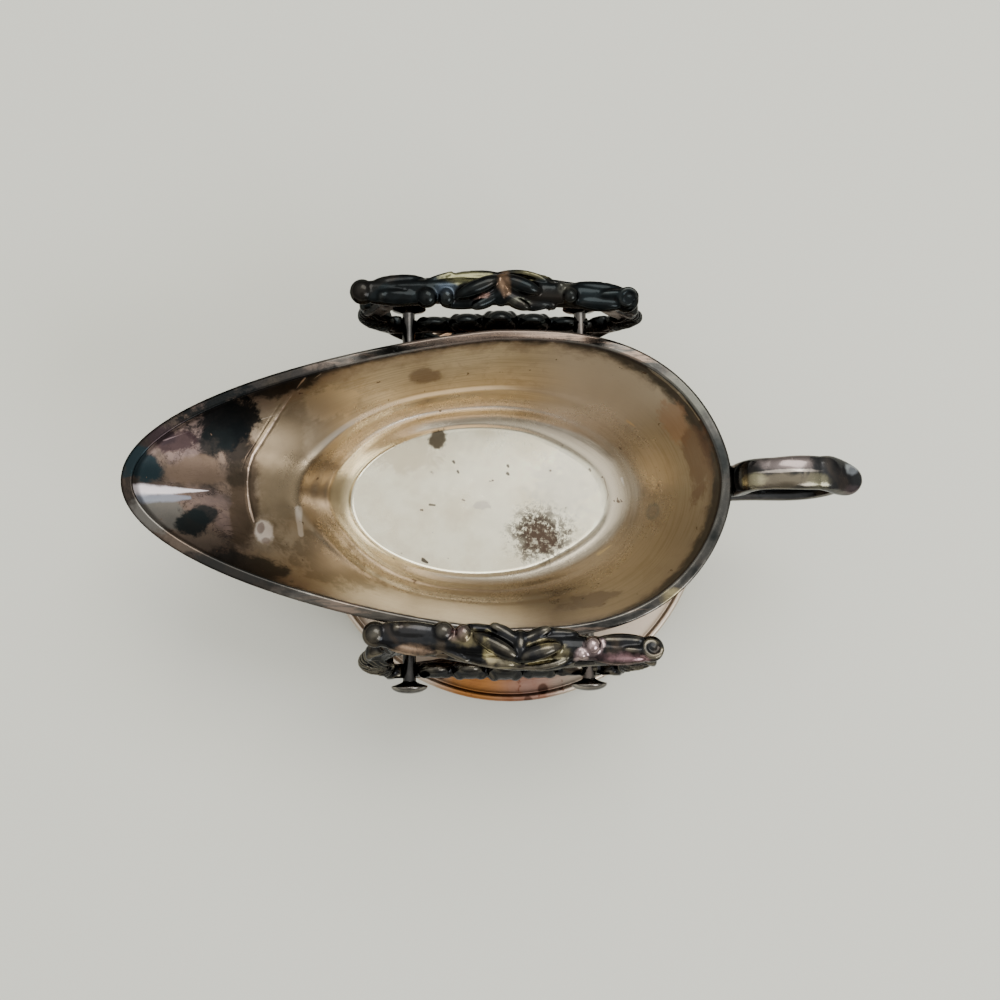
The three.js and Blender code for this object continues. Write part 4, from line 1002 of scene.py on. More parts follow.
def remeshed(piece, size, name, smoothing=2):
    """Joins overlapping closed parts into one skin of even quads, then softens it."""
    modifier = piece.modifiers.new("one_skin", "REMESH")
    modifier.mode, modifier.voxel_size = "VOXEL", size * MM
    soft = piece.modifiers.new("soften", "SMOOTH")
    soft.factor, soft.iterations = 0.5, smoothing
    return settled(piece, name)


boat_solid = envelope(SOLDER_GAP)
handle = remeshed(new_piece("handle_rough", *joined_points(handle_mesh())), HANDLE_VOXEL, "handle_whole")
handle = cut_away(handle, boat_solid, "handle")
raised_points(handle.data)
handle.data.materials.clear()
HANDLE_PATCHES_AND_HIGHLIGHTS = [
    ((85, 2.8, 80), (9, 2.5, 5), (128, 116, 113), 0.85),
    ((84, -2.7, 80), (12, 2.3, 5), (122, 112, 94), 0.8),
    # A painted highlight: the brightest spot near the strap's root.
    ((76.2, -1.8, 77), (3.2, 2.2, 4), (200, 192, 154), 0.6),
    ((95, -2.8, 79), (4, 2.3, 4), (136, 131, 104), 0.65),
    # Painted highlights: a bright line along the strap's ridge, then a pale spot on the leaf.
    ((84, 0.3, 81.2), (10, 0.5, 4), (206, 194, 182), 0.7),
    ((107.6, 1.6, 75), (2.6, 1.7, 4), (170, 176, 184), 0.75),
    ((106.5, -4.8, 73), (4, 1.5, 4), (104, 90, 93), 0.6),
]
handle.data.materials.append(dark_finish(
    "handle_plate", (22, 23, 24), (46, 47, 49), (74, 66, 60), (150, 146, 138),
    wear=0.4, rough=0.18, patches=HANDLE_PATCHES_AND_HIGHLIGHTS))
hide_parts("boat_handle")
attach(handle, "boat")
print("handle:", len(handle.data.polygons), "faces", [round(v / MM, 1) for v in handle.dimensions])

# %% [markdown]
# ## Pins, bosses and screws
# There are four of each, so each is made once and a node tree sets it at the four corners of a
# rectangle, turned to face outwards on the near side.

# %% Four of a kind
PIN_SPACING, PIN_MIDDLE_X, PIN_HEIGHT, PIN_RADIUS = 59.6, -1.8, 41.2, 2.15
BOSS_FACE, BOSS_RADIUS, HEAD_START, HEAD_RADIUS, HEAD_DISC, DOME_RISE = 43.0, 5.4, 62.53, 6, 2, 2.3
FRAME_BASE_Y, FOOT_Y, SCREW_X = 63.697, 57.297, 11.0


def four_places():
    tree = Tree("four_of_a_kind", Part="o", Length="f", Width="f", Middle="f", Height="f", Finish="m")
    corners = tree.add("MeshGrid", {
        "Size X": tree.inputs["Length"], "Size Y": tree.inputs["Width"], "Vertices X": 2, "Vertices Y": 2})
    y = tree.add("ShaderNodeSeparateXYZ", {0: tree.add("InputPosition").outputs[0]}).outputs["Y"]
    turn = tree.axes(Z=tree.math("MULTIPLY", tree.math("LESS_THAN", y, 0.0), math.pi))
    placed = tree.add("InstanceOnPoints", {
        "Points": corners.outputs["Mesh"], "Instance": tree.shape_of("Part"), "Rotation": turn}).outputs[0]
    shift = tree.axes(X=tree.inputs["Middle"], Z=tree.inputs["Height"])
    moved = tree.add("Transform", {"Geometry": placed, "Translation": shift}).outputs[0]
    tree.close(moved, tree.inputs["Finish"])
    return tree


four_of_a_kind = four_places()


def set_of_four(name, part, length, width, middle, height, finish):
    piece = four_of_a_kind.run(empty_carrier(name + "_places"), name, Part=part, Length=length * MM,
                               Width=width * MM, Middle=middle * MM, Height=height * MM, Finish=finish)
    bpy.data.objects.remove(part)
    raised_points(piece.data)
    return piece


def pin_profile():
    r, start, disc = PIN_RADIUS, HEAD_START - BOSS_FACE, HEAD_START + HEAD_DISC - BOSS_FACE
    cone = [(r + 3.55 * s**1.6, start + 0.2 + 1.5 * s) for s in np.linspace(0, 1, 9)]
    dome = [(HEAD_RADIUS * math.cos(a), disc + DOME_RISE * math.sin(a))
            for a in np.linspace(0.06, math.pi / 2 - 0.08, 11)]
    return [(0.01, 0), (r * 0.97, 0), (r, 0.3), (r, 4), (r, 9), (r, 14), (r, start), *cone,
            (HEAD_RADIUS - 0.05, disc - 0.18), (HEAD_RADIUS, disc), *dome, (0.01, disc + DOME_RISE)]


pins = set_of_four("pins", new_piece("pin", *skin(lathe(pin_profile(), 40, "Y"))),
                   PIN_SPACING, 2 * BOSS_FACE, PIN_MIDDLE_X, PIN_HEIGHT, pin_plate)
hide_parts(*(f"pin_{end}_{side}" for end in ("front", "rear") for side in ("far", "near")))
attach(pins, "boat")
print("pins reach out to", round(max(v.co.y for v in pins.data.vertices) / MM, 2), "mm")

# %% [markdown]
# The bosses are soldered to the wall, so they are made too long and a boolean cuts them to its
# outer skin. The screws hold the frames from below; a second boolean cuts the driver's slot.


# %% Bosses and screws
def boss_profile():
    r = BOSS_RADIUS
    return [(0.01, -20), (1.2 * r, -20), (1.02 * r, -3.2), (0.99 * r, -2.4), (0.93 * r, -1.3),
            (0.84 * r, -0.6), (0.72 * r, -0.1), (0.68 * r, 0), (0.01, 0)]


bosses = set_of_four("bosses", new_piece("boss", *skin(lathe(boss_profile(), 48, "Y"))),
                     PIN_SPACING, 2 * BOSS_FACE, PIN_MIDDLE_X, PIN_HEIGHT, pin_plate)
bosses = cut_away(bosses, boat_solid, "bosses_cut")
bpy.data.objects.remove(boat_solid)
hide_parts(*(f"pin_boss_{end}_{side}" for end in ("front", "rear") for side in ("far", "near")))
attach(bosses, "boat")


def screw_mesh():
    profile = [(0.01, 6.9), (2.6, 6.9), (2.85, 7.05), (3, 7.4), (3, 8.7), (1.5, 8.7), (1.5, 12.05),
               (1.05, 12.5), (0.01, 12.5)]
    screw = new_piece("screw_blank", *skin(lathe(profile, 40)))
    slot = new_piece("slot", [(x, y, z) for x in (-4, 4) for y in (-0.4, 0.4) for z in (6, 7.6)],
                     [(0, 1, 3, 2), (4, 6, 7, 5), (0, 4, 5, 1), (2, 3, 7, 6), (0, 2, 6, 4), (1, 5, 7, 3)])
    cut = cut_away(screw, slot, "screw")
    bpy.data.objects.remove(slot)
    cut.data.polygons.foreach_set("use_smooth", [False] * len(cut.data.polygons))
    return cut


screw_steel = dark_finish("screw_steel", (96, 94, 90), (120, 116, 108), (118, 96, 76), (170, 168, 160),
                          wear=0.5, rough=0.36)
screws = set_of_four("screws", screw_mesh(), 2 * SCREW_X, 2 * FOOT_Y, 0, 0, screw_steel)
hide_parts(*(f"frame_screw_{end}_{side}" for end in ("front", "rear") for side in ("far", "near")))
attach(screws, "stand")
print("bosses and screws:", len(bosses.data.polygons), len(screws.data.polygons), "faces")

# %% [markdown]
# ## The cast side frames
# A founder would carve one wax pattern and cast both frames from it. The same is done here:
# closed parts overlap freely (scrolls, beads, leaves, ribs), and a voxel remesh fuses them into
# one skin with the soft corners of a casting. Parts are drawn flat as (along, up, outwards).

# %% Parts of the pattern
FRAME_LEAN, FRAME_THICKNESS, FRAME_HALF_WIDTH = math.radians(9), 4.4, 47.5
FOOT_HALF_LENGTH, SHELL_RISE, SILL_WIDTH, LOBE_SPACING, LOBE_RISE = 18, 4.6, 6.4, 11.6, 12.2
BRIM_TOP, RAIL_UP, SILL_UP, LEG_TUCK = 10.0, 88.084, 30.839, 6.4
SHELL_REACH, SHELL_MIDDLE_UP = 2.9 * SHELL_RISE, 0.52 * RAIL_UP
WIDE = FRAME_HALF_WIDTH - SHELL_RISE


def scroll(path, count, width, depth, groove=0.0, sides=22):
    """An oval member along a path of (along, up) or (along, up, outwards), grooved outside."""
    path = [(*p, 0.0) if len(p) == 2 else p for p in path]
    line = smooth_path(path, count)
    tangent = np.gradient(line, axis=0)
    tangent /= np.linalg.norm(tangent, axis=1, keepdims=True)
    turn = np.linspace(0, 2 * math.pi, sides, endpoint=False)
    rings = []
    for k, (middle, along) in enumerate(zip(line, tangent)):
        u = k / (count - 1)
        side = np.cross([0, 0, 1.0], along)
        side /= np.linalg.norm(side)
        out = np.cross(along, side)
        across = np.sign(np.cos(turn)) * np.abs(np.cos(turn)) ** 0.8
        away = np.sign(np.sin(turn)) * np.abs(np.sin(turn)) ** 0.7
        away = away * (1 - groove * np.exp(-((across / 0.3) ** 2)))
        rings.append(middle + np.outer(across * width(u) / 2, side) + np.outer(away * depth(u) / 2, out))
    return skin(rings)


def swelling(size, ends):
    return lambda u: size * (ends + (1 - ends) * math.sin(math.pi * u))


def rod(path, count, size, ends, sides=22):
    """A round member, thickest in its middle."""
    return scroll(path, count, swelling(size, ends), swelling(size, ends), sides=sides)


def leaf(start, end, wide, thick, lobes=3, vein=0.35, bow=0.0):
    """A fleshy leaf from start to end, with a sunk vein and a lobed margin."""
    start, end = np.array(start, float), np.array(end, float)
    along = end - start
    length = np.linalg.norm(along)
    along /= length
    side = np.cross([0, 0, 1.0], along)
    side /= np.linalg.norm(side)
    out = np.cross(along, side)
    turn = np.linspace(0, 2 * math.pi, 26, endpoint=False)
    rings = []
    for u in np.linspace(0.015, 0.985, 30):
        half = wide / 2 * math.sin(math.pi * u**0.85) ** 0.6 * (1 + 0.16 * math.cos(2 * math.pi * lobes * u))
        deep = thick / 2 * math.sin(math.pi * u) ** 0.5
        middle = start + along * length * u + side * bow * math.sin(math.pi * u)
        across, away = np.cos(turn), np.sin(turn)
        away = away * (1 - vein * np.exp(-((across / 0.22) ** 2)) * (away > 0))
        rings.append(middle + np.outer(across * half, side) + np.outer(away * deep, out))
    return skin(rings)


def ball(centre, radius, sides=22, squash=(1, 1, 1)):
    heights = np.linspace(0, math.pi, 14)
    rings = lathe([(max(0.02, math.sin(h)), -math.cos(h)) for h in heights], sides)
    return skin([np.array(centre) + radius * ring * np.array(squash) for ring in rings])


print("pattern makers ready; rail", RAIL_UP, "mm up the frame")

# %% [markdown]
# The shells are fans of ribs. A node tree turns one rib round the fan's middle: it needs the
# number of ribs, the fan's angle and the way it points, and stretches the fan to fit.


# %% Fans of ribs
def fan_tree():
    tree = Tree("fan_of_ribs", Rib="o", Count="i", Spread="f", Towards="f", Stretch="f", Finish="m")
    line = tree.add("MeshLine", {"Count": tree.inputs["Count"], "Offset": (0, 0, 0)}).outputs[0]
    last = tree.math("SUBTRACT", tree.inputs["Count"], 1.0)
    share = tree.math("DIVIDE", tree.add("InputIndex").outputs[0], last)
    from_middle = tree.math("SUBTRACT", share, 0.5)
    turn = tree.math("MULTIPLY_ADD", from_middle, tree.inputs["Spread"], tree.inputs["Towards"])
    ribs = tree.add("InstanceOnPoints", {
        "Points": line, "Instance": tree.shape_of("Rib"), "Rotation": tree.axes(Z=turn)}).outputs[0]
    scale = tree.axes(X=1.0, Y=tree.inputs["Stretch"], Z=1.0)
    fan = tree.add("Transform", {"Geometry": ribs, "Scale": scale}).outputs[0]
    tree.close(fan, tree.inputs["Finish"])
    return tree


fan_of_ribs = fan_tree()


def fan(centre, reach, spread, towards, count, rib_width, thick, stretch=1.0, inner=0.25):
    """A fan of leaf-shaped ribs that start at a share of the reach, with its points and faces."""
    length = reach * (1 - inner)
    points, faces = leaf((inner * reach, 0, 0), (reach, 0, 0), rib_width, thick, lobes=1, vein=-0.1)
    p = np.array(points)
    share = (p[:, 0] - inner * reach) / length
    p[:, 1] *= 0.35 + 0.75 * share
    rib = new_piece("rib", p, faces)
    piece = fan_of_ribs.run(empty_carrier("fan_places"), "fan", Rib=rib, Count=count,
                            Spread=math.radians(spread), Towards=math.radians(towards), Stretch=stretch)
    bpy.data.objects.remove(rib)
    points = points_of(piece.data) + np.array(centre)
    faces = [tuple(polygon.vertices) for polygon in piece.data.polygons]
    bpy.data.objects.remove(piece)
    return points, faces


print("one fan has", len(fan((0, 0, 0), 10, 90, 0, 6, 3, 4)[0]), "points")


# %% [markdown]
# The top rail is drawn from left to right: an end ball, a plain stretch with two buds, leaves
# that open to both sides of the middle shell, then beads and a long leaf that ends in a scroll.


# %% Rail of the pattern
def volute(x, up, out, radius, turns, width):
    """A spiral wire that lies on top of the rail."""
    path = []
    for t in np.linspace(0, 1, 16):
        reach, turn = radius * (1 - 0.75 * t), turns * 2 * math.pi * t
        path.append((x + reach * math.cos(turn), up - 0.8 * t, out + reach * math.sin(turn)))
    return rod(path, 60, width, 0.75, sides=12)


def rail_parts():
    up = RAIL_UP

    def lifted(path):
        return [(x, up + rise, out) for x, rise, out in path]

    ledge = [(-36, -2.8, 2.6), (-24, -3.2, 3.6), (-12, -3.0, 5.0), (-0.6, -3.7, 6.0), (11, -3.0, 5.0),
             (23, -3.2, 3.8), (36, -2.8, 2.6)]
    curl = [(-1.5, -1.6, 6.4), (3.0, 0.2, 6.9), (8.0, 1.4, 6.4), (12.6, 1.6, 4.8), (14.6, 1.2, 2.6),
            (12.4, 1.4, 1.4), (10.0, 1.8, 2.6)]
    core = [(-37.5, -0.6, 0.2), (-12, -0.4, 1.0), (12, -0.4, 1.0), (36.5, -0.6, 0.2)]
    cross = [(-24, 1.2, 1.4), (-19.5, 1.2, 3.6), (-13.5, 0.4, 6.2)]
    plain = [(-37.0, 0.6, -1.3), (-30, 1.0, -1.5), (-22.5, 0.8, -1.3)]
    return [
        rod(lifted(core), 60, 7.4, 0.86),
        scroll(lifted(ledge), 90, swelling(3.0, 0.6), swelling(3.0, 0.7)),
        rod(lifted(cross), 24, 2.2, 0.6),
        rod(lifted(curl), 60, 1.9, 0.6),
        # plain stretch on the left: an end ball, two rods side by side, then two round buds
        ball((-39.6, up, 0), 3.7), ball((-33.6, up + 1.9, -1.6), 2.0),
        scroll(lifted(plain), 24, swelling(5.4, 0.8), swelling(5.0, 0.8)),
        leaf((-37.2, up - 0.2, 2.6), (-21.0, up - 0.2, 4.0), 5.2, 4.6, 1, 0.5),
        ball((-20.8, up + 2.0, -1.4), 3.0, squash=(1.05, 0.9, 1)),
        ball((-15.2, up + 2.2, -1.2), 2.5, squash=(1.0, 0.9, 1.1)),
        # leaves that open from the middle to both sides, over a smaller row
        leaf((1.5, up - 0.2, 5.4), (-13.5, up + 2.2, -1.4), 8.6, 5.6, 1, 0.55, -1.0),
        leaf((0.5, up - 1.6, 6.4), (-17.0, up + 0.2, 4.2), 5.0, 4.6, 1, 0.5, 0.6),
        leaf((1.0, up + 1.6, 0.6), (-8.0, up + 2.8, -4.2), 5.0, 4.0, 1, 0.5, 0.6),
        leaf((-3.0, up + 1.0, -2.2), (-17.0, up + 1.0, -3.2), 4.2, 3.4, 1, 0.4),
        leaf((0.6, up + 1.4, -3.4), (0.6, up + 1.6, 6.4), 5.6, 5.4, 1, -0.25),
        leaf((-1.0, up - 0.2, 5.4), (13.0, up + 2.2, 0.6), 8.0, 5.4, 1, 0.55, 1.0),
        leaf((0.5, up - 1.6, 6.4), (16.5, up - 0.2, 4.6), 5.0, 4.4, 1, 0.5, -0.6),
        leaf((0.2, up + 1.6, 0.6), (9.0, up + 2.8, -4.0), 5.0, 4.0, 1, 0.5, -0.6),
        leaf((4.0, up + 1.0, -2.4), (17.0, up + 1.0, -3.0), 4.2, 3.4, 1, 0.4),
        # two beads and a long leaf on the right, which ends in a scroll
        ball((20.6, up + 2.2, 0.2), 2.5), ball((17.8, up + 1.8, 2.8), 1.7),
        leaf((21.0, up + 0.8, -1.2), (37.0, up + 1.0, -1.8), 5.2, 4.6, 1, 0.4),
        leaf((20.0, up - 0.4, 3.4), (37.5, up + 0.2, 2.4), 5.4, 4.8, 1, 0.5),
        leaf((28.0, up + 1.8, 0.8), (38.5, up + 2.2, 1.4), 3.4, 3.0, 1, 0.4),
        ball((37.4, up - 0.2, 0), 3.7), volute(37.2, up + 3.0, 0, 2.9, 1.4, 1.8),
    ]


print("rail:", len(rail_parts()), "parts")

# %% [markdown]
# Both sides are the same pattern, mirrored: a long scroll from the foot to the rail, a fan of
# ribs for the shell, and leaves over the joints. The sill's lobes are flattened balls, and the
# foot has two small scrolls, a hanging leaf and a pad that lies on the brim. Places are written
# as shares of the frame's height and half width, so the pattern grows with them.


# %% Sides and sill of the pattern
def side_parts(side):
    """All parts of one side. side is -1 or 1; places are shares of the half width and height."""
    stem = [(0.54, 0.13), (0.81, 0.26), (0.95, 0.4), (1, 0.54), (0.94, 0.68), (0.84, 0.79),
            (0.78, 0.89), (0.82, 1)]

    def place(across, up, out=0.0):
        return side * (across * WIDE), up * RAIL_UP, out

    path = [(side * (0.78 * FOOT_HALF_LENGTH), 0.01 * RAIL_UP, 0.0)] + [place(*p) for p in stem]
    low_curl = [place(0.83, 0.25, 0.6), place(0.9, 0.3, 1.0), place(0.84, 0.37, 1.2),
                place(0.76, 0.33, 1.0), place(0.8, 0.29, 0.8)]
    high_curl = [place(0.88, 0.8, 0.4), place(0.97, 0.77, 0.8), place(0.99, 0.71, 0.8), place(0.92, 0.69, 0.6)]
    return [
        scroll(path, 90, swelling(8.6, 0.62), lambda u: FRAME_THICKNESS * 0.98, 0.34),
        fan((side * (FRAME_HALF_WIDTH - SHELL_REACH), SHELL_MIDDLE_UP, 0), SHELL_REACH, 116,
            0 if side > 0 else 180, 11, 2.25, 5.6, 1.6, 0.22),
        leaf(place(0.84, 0.74, 0.5), place(0.76, 0.95, 0.8), 6.4, 5.2, 3, 0.5),
        leaf(place(0.52, 0.11, 0.4), place(0.86, 0.32, 0.6), 6.2, 5.0, 4, 0.5),
        scroll(low_curl, 36, swelling(2.8, 0.6), swelling(4.0, 0.7)),
        scroll(high_curl, 30, swelling(2.6, 0.6), swelling(4.4, 0.7)),
        ball(place(0.735, 0.86, 0.4), 1.7), ball(place(0.7, 0.905, 0.4), 1.3),
    ]


def sill_parts():
    arch = [(x, SILL_UP - SILL_WIDTH / 2 + 0.2 * SILL_WIDTH * math.cos(math.pi * x / 2 / WIDE))
            for x in np.linspace(-0.9 * WIDE, 0.9 * WIDE, 13)]
    parts = [scroll(arch, 80, lambda u: SILL_WIDTH * (1 - 0.16 * math.sin(math.pi * u)),
                    lambda u: FRAME_THICKNESS)]
    for k, share in zip((-2, -1, 0, 1, 2), (0.43, 0.72, 1, 0.72, 0.43)):
        rise, x = share * LOBE_RISE, k * LOBE_SPACING * 0.985
        top, thick = SILL_UP - 3.6 + 0.5 * rise + 1.4, 2.0 + 0.12 * rise
        parts.append(ball((x, top, 0.08 * rise), 1.0, 28, (0.48 * LOBE_SPACING, 0.5 * rise + 2.4, thick)))
        for turn in (-1, 1):
            parts.append(ball((x + turn * 0.3 * LOBE_SPACING, top - 0.12 * rise, 0.1 * rise), 1.0, 24,
                              (0.24 * LOBE_SPACING, 0.36 * rise + 1.8, thick)))
        if k != 2:
            parts.append(ball((x + LOBE_SPACING / 2, SILL_UP + 0.1 * rise, 0.9), 1.9))
    return parts


def outline_of(half_long, half_wide, corner=1.2, count=5):
    """A rectangle with round corners."""
    points = []
    for cx, cy, start in ((1, 1, 0), (-1, 1, 90), (-1, -1, 180), (1, -1, 270)):
        for a in np.radians(np.linspace(start, start + 90, count)):
            points.append((cx * (half_long - corner) + corner * math.cos(a),
                           cy * (half_wide - corner) + corner * math.sin(a)))
    return points


def foot_parts():
    """Two scrolls, a hanging leaf and, as the last part, the pad."""
    f, s, parts = FOOT_HALF_LENGTH, SILL_UP, []
    path = [(0.24, 0.36), (0.26, 0.2), (0.5, 0.12), (0.82, 0.34), (0.78, 0.64), (0.36, 0.88)]
    for side in (-1, 1):
        places = [(side * (x * f), up * s) for x, up in path]
        parts.append(scroll(places, 60, swelling(4.6, 0.7), lambda u: 3.8, 0.35))
        parts.append(ball((side * 0.26 * f, 0.34 * s, 0), 2.7, squash=(1, 1, 0.75)))
    parts.append(leaf((0, 0.98 * s, 0), (0, 0.42 * s, 0.2), 8.0, 4.6, 3, 0.5))
    levels = [(-3.0, f, 3.2), (3.0, f, 3.2), (3.7, f - 0.15, 3.05), (4.1, f - 0.7, 2.5)]
    pad = [np.array([(x, up, out) for x, out in outline_of(long, wide)]) for up, long, wide in levels]
    return parts + [skin(pad)]


print("each side:", len(side_parts(1)), "parts; sill:", len(sill_parts()))

# %% [markdown]
# The pattern is leant in, fused, and then fitted by moving points: anything below the brim's top
# is pressed flat for the foot, and points inside a pin's notch move to the notch's wall. Thin
# grooves, like the teeth of a comb, are cut into the shells at both ends.


# %% Casting both frames
COMB_PITCH, COMB_DEPTH, COMB_SPREAD = 9.5, 0.75, 62
NOTCH_PLAY, NOTCH_ABOVE = 0.4, 6


def stand_up(points):
    p = np.array(points, float)
    c, s = math.cos(FRAME_LEAN), math.sin(FRAME_LEAN)
    x, y, z = p[:, 0], FRAME_BASE_Y + p[:, 2] * c - p[:, 1] * s, BRIM_TOP + p[:, 1] * c + p[:, 2] * s
    sill = BRIM_TOP + (SILL_UP - SILL_WIDTH) * c
    y = y - LEG_TUCK * np.maximum(0, sill - z) / (sill - BRIM_TOP)
    return np.stack([x, y, z], axis=1)


def comb_shells(mesh, p):
    """Cuts thin grooves, like a shell's, that fan out over both ends of the frame."""
    away = np.abs(p[:, 0]) - (FRAME_HALF_WIDTH - SHELL_REACH)
    up = p[:, 2] - BRIM_TOP - SHELL_MIDDLE_UP * math.cos(FRAME_LEAN)
    angle, radius = np.degrees(np.arctan2(up, np.maximum(away, 0.01))), np.hypot(away, up)
    zone = step(radius, 0.3 * SHELL_REACH, 0.6 * SHELL_REACH)
    zone = zone * step(COMB_SPREAD - np.abs(angle), 0, 8) * step(away, 0.5, 3)
    groove = (0.5 + 0.5 * np.cos(np.radians(angle) * 360 / COMB_PITCH)) ** 3 * zone * COMB_DEPTH
    normals = np.array([v.normal for v in mesh.vertices])
    move_points(mesh, p - groove[:, None] * normals)


def fit_notch(p, x):
    """Moves the points that lie in the notch of the pin at x to the notch's wall."""
    radius = PIN_RADIUS + NOTCH_PLAY
    dx, dz = p[:, 0] - x, p[:, 2] - PIN_HEIGHT
    away = np.hypot(dx, dz)
    below = (dz < 0) & (away < radius)
    grow = radius / np.maximum(away[below], 0.05) - 1
    p[below, 0] += dx[below] * grow
    p[below, 2] += dz[below] * grow
    above = (dz >= 0) & (dz < NOTCH_ABOVE) & (np.abs(dx) < radius)
    p[above, 0] = x + np.where(dx[above] < 0, -radius, radius)


def cast_frame():
    *foot, pad = foot_parts()
    points, faces = joined_points(rail_parts() + side_parts(-1) + side_parts(1) + sill_parts() + foot)
    points = stand_up(points)
    flat, pad_faces = np.array(pad[0]), pad[1]
    flat = np.stack([flat[:, 0], FOOT_Y + flat[:, 2], BRIM_TOP + flat[:, 1]], axis=1)
    faces += [tuple(len(points) + i for i in face) for face in pad_faces]
    rough = new_piece("pattern", np.vstack([points, flat]), faces)
    cast = remeshed(rough, FRAME_VOXEL, "side_frame_far", 3)
    p = points_of(cast.data)
    p[:, 2] = np.maximum(p[:, 2], BRIM_TOP)
    for x in (PIN_MIDDLE_X - PIN_SPACING / 2, PIN_MIDDLE_X + PIN_SPACING / 2):
        fit_notch(p, x)
    move_points(cast.data, p)
    comb_shells(cast.data, p)
    raised_points(cast.data, 5)
    return cast


def mirror_of(piece, name):
    mesh = piece.data.copy()
    mesh.transform(Matrix.Scale(-1, 4, (0, 1, 0)))
    mesh.flip_normals()
    return add_object(name, mesh)


frame_far = cast_frame()
frame_near = mirror_of(frame_far, "side_frame_cast_near")
frame_far.name = "side_frame_cast_far"
print("each casting:", len(frame_far.data.polygons), "faces", [round(v / MM, 1) for v in frame_far.dimensions])

# %% [markdown]
# ## Old frames, and room for the tilt
# Both frames have been bent a little in use, each in its own way. The boat tilts forward on its
# front pins, and its rim then comes close under the top rails. A silversmith would file a place
# there. Rays are sent down onto the tilted rim, and points of the rail that are too low go up.

# %% Bent and filed
BEND_FROM, BEND_TO = PIN_HEIGHT + 6, 97
FAR_DEGREES, FAR_SWAY, NEAR_DEGREES, NEAR_SWAY = 1.8, -2.6, 3.8, 1.3
FULL_TILT, FILED_GAP, FILED_DEPTH, FILED_MARGIN = 33.0, 0.2, 3, 0.7
FILED_ABOVE, FILED_LENGTH, RAY_START = 90, 20, 0.2


def bend(mesh, side, degrees, sway):
    """Turns the top of an old frame a little round the vertical and sets it off sideways."""
    p = points_of(mesh)
    middle = side * (FRAME_BASE_Y - (p[:, 2] - BRIM_TOP) * math.tan(FRAME_LEAN))
    share = step(p[:, 2], BEND_FROM, BEND_TO)
    turn = -math.radians(degrees) * share
    x, away = p[:, 0].copy(), p[:, 1] - middle
    p[:, 0] = x * np.cos(turn) - away * np.sin(turn) + sway * share
    p[:, 1] = middle + x * np.sin(turn) + away * np.cos(turn)
    move_points(mesh, p)


def tilted(piece, degrees):
    """The piece's faces as they stand when the boat is tilted on its front pins."""
    pivot = Vector((PIN_MIDDLE_X - PIN_SPACING / 2, 0, PIN_HEIGHT)) * MM
    turn = Matrix.Rotation(-math.radians(degrees), 4, "Y")
    turn = Matrix.Translation(pivot) @ turn @ Matrix.Translation(-pivot)
    mesh = piece.data
    points = [turn @ v.co for v in mesh.vertices]
    return BVHTree.FromPolygons(points, [tuple(face.vertices) for face in mesh.polygons])


def file_for_tilt(mesh):
    """Files the underside of the top rail where the tilted rim would rub on it."""
    boat_parts = [tilted(piece, FULL_TILT) for piece in (rim_wire, body)]
    margin, filed = FILED_MARGIN * MM, 0
    for v in mesh.vertices:
        if v.co.z < FILED_ABOVE * MM or not 0 < v.co.x < FILED_LENGTH * MM:
            continue
        tops = [0]
        for across, along in ((0, 0), (margin, 0), (-margin, 0), (0, margin), (0, -margin)):
            above = Vector((v.co.x + along, v.co.y + across, RAY_START))
            hits = [faces.ray_cast(above, Vector((0, 0, -1)))[0] for faces in boat_parts]
            tops += [hit.z for hit in hits if hit is not None]
        room = max(tops) + FILED_GAP * MM
        if max(tops) - FILED_DEPTH * MM < v.co.z < room:
            v.co.z = room
            filed += 1
    return filed


bend(frame_far.data, 1, FAR_DEGREES, FAR_SWAY)
bend(frame_near.data, -1, NEAR_DEGREES, NEAR_SWAY)
print("points filed for the tilt:", file_for_tilt(frame_far.data), "and", file_for_tilt(frame_near.data))
for piece, node, finish in ((frame_far, "side_frame_far", far_plate),
                            (frame_near, "side_frame_near", near_plate)):
    piece.data.materials.clear()
    piece.data.materials.append(finish)
    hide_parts(node)
    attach(piece, "stand")
print("bent frames:", [[round(v / MM, 1) for v in piece.dimensions] for piece in (frame_far, frame_near)])

# %% [markdown]
# ## The dish
# It is spun on a lathe from one sheet, so its profile is revolved. The plate has been polished
# through to the copper on the brim, which gives it the pink and orange colour.

# %% Dish and its wire
BRIM_INNER, BRIM_OUTER, COVE_WIDTH, SHEET_DISH, WIRE_RADIUS = 51.097, 68.973, 13.5, 1.3, 1.35
DISH_SHIFT, DISH_SIDES = 4.0, 288
BRIM_UNDER = BRIM_TOP - SHEET_DISH


def dish_profile():
    well = BRIM_INNER - COVE_WIDTH
    cove = [(well + COVE_WIDTH * s, BRIM_UNDER * (1 - math.cos(math.pi * min(1, s**1.05))) / 2)
            for s in np.linspace(0, 1, 19)]
    under = [(0.02, 0), (well * 0.5, 0), (well - 1, 0)] + cove
    under += [(r, BRIM_UNDER) for r in (53, 56, 60, 64, 67.5, 68.8)]
    t = SHEET_DISH
    over = [(69.4, 8.9), (69.7, 9.6), (69.6, 10.4), (69.0, 10.2), (68.0, 10.04), (66.6, 10)]
    over += [(r, 10) for r in (64, 60, 56, 53)]
    over += [(r - 0.55 * t, z + t) for r, z in cove[::-1]] + [(well - 1.2, t), (well * 0.5, t), (0.02, t)]
    return under + over


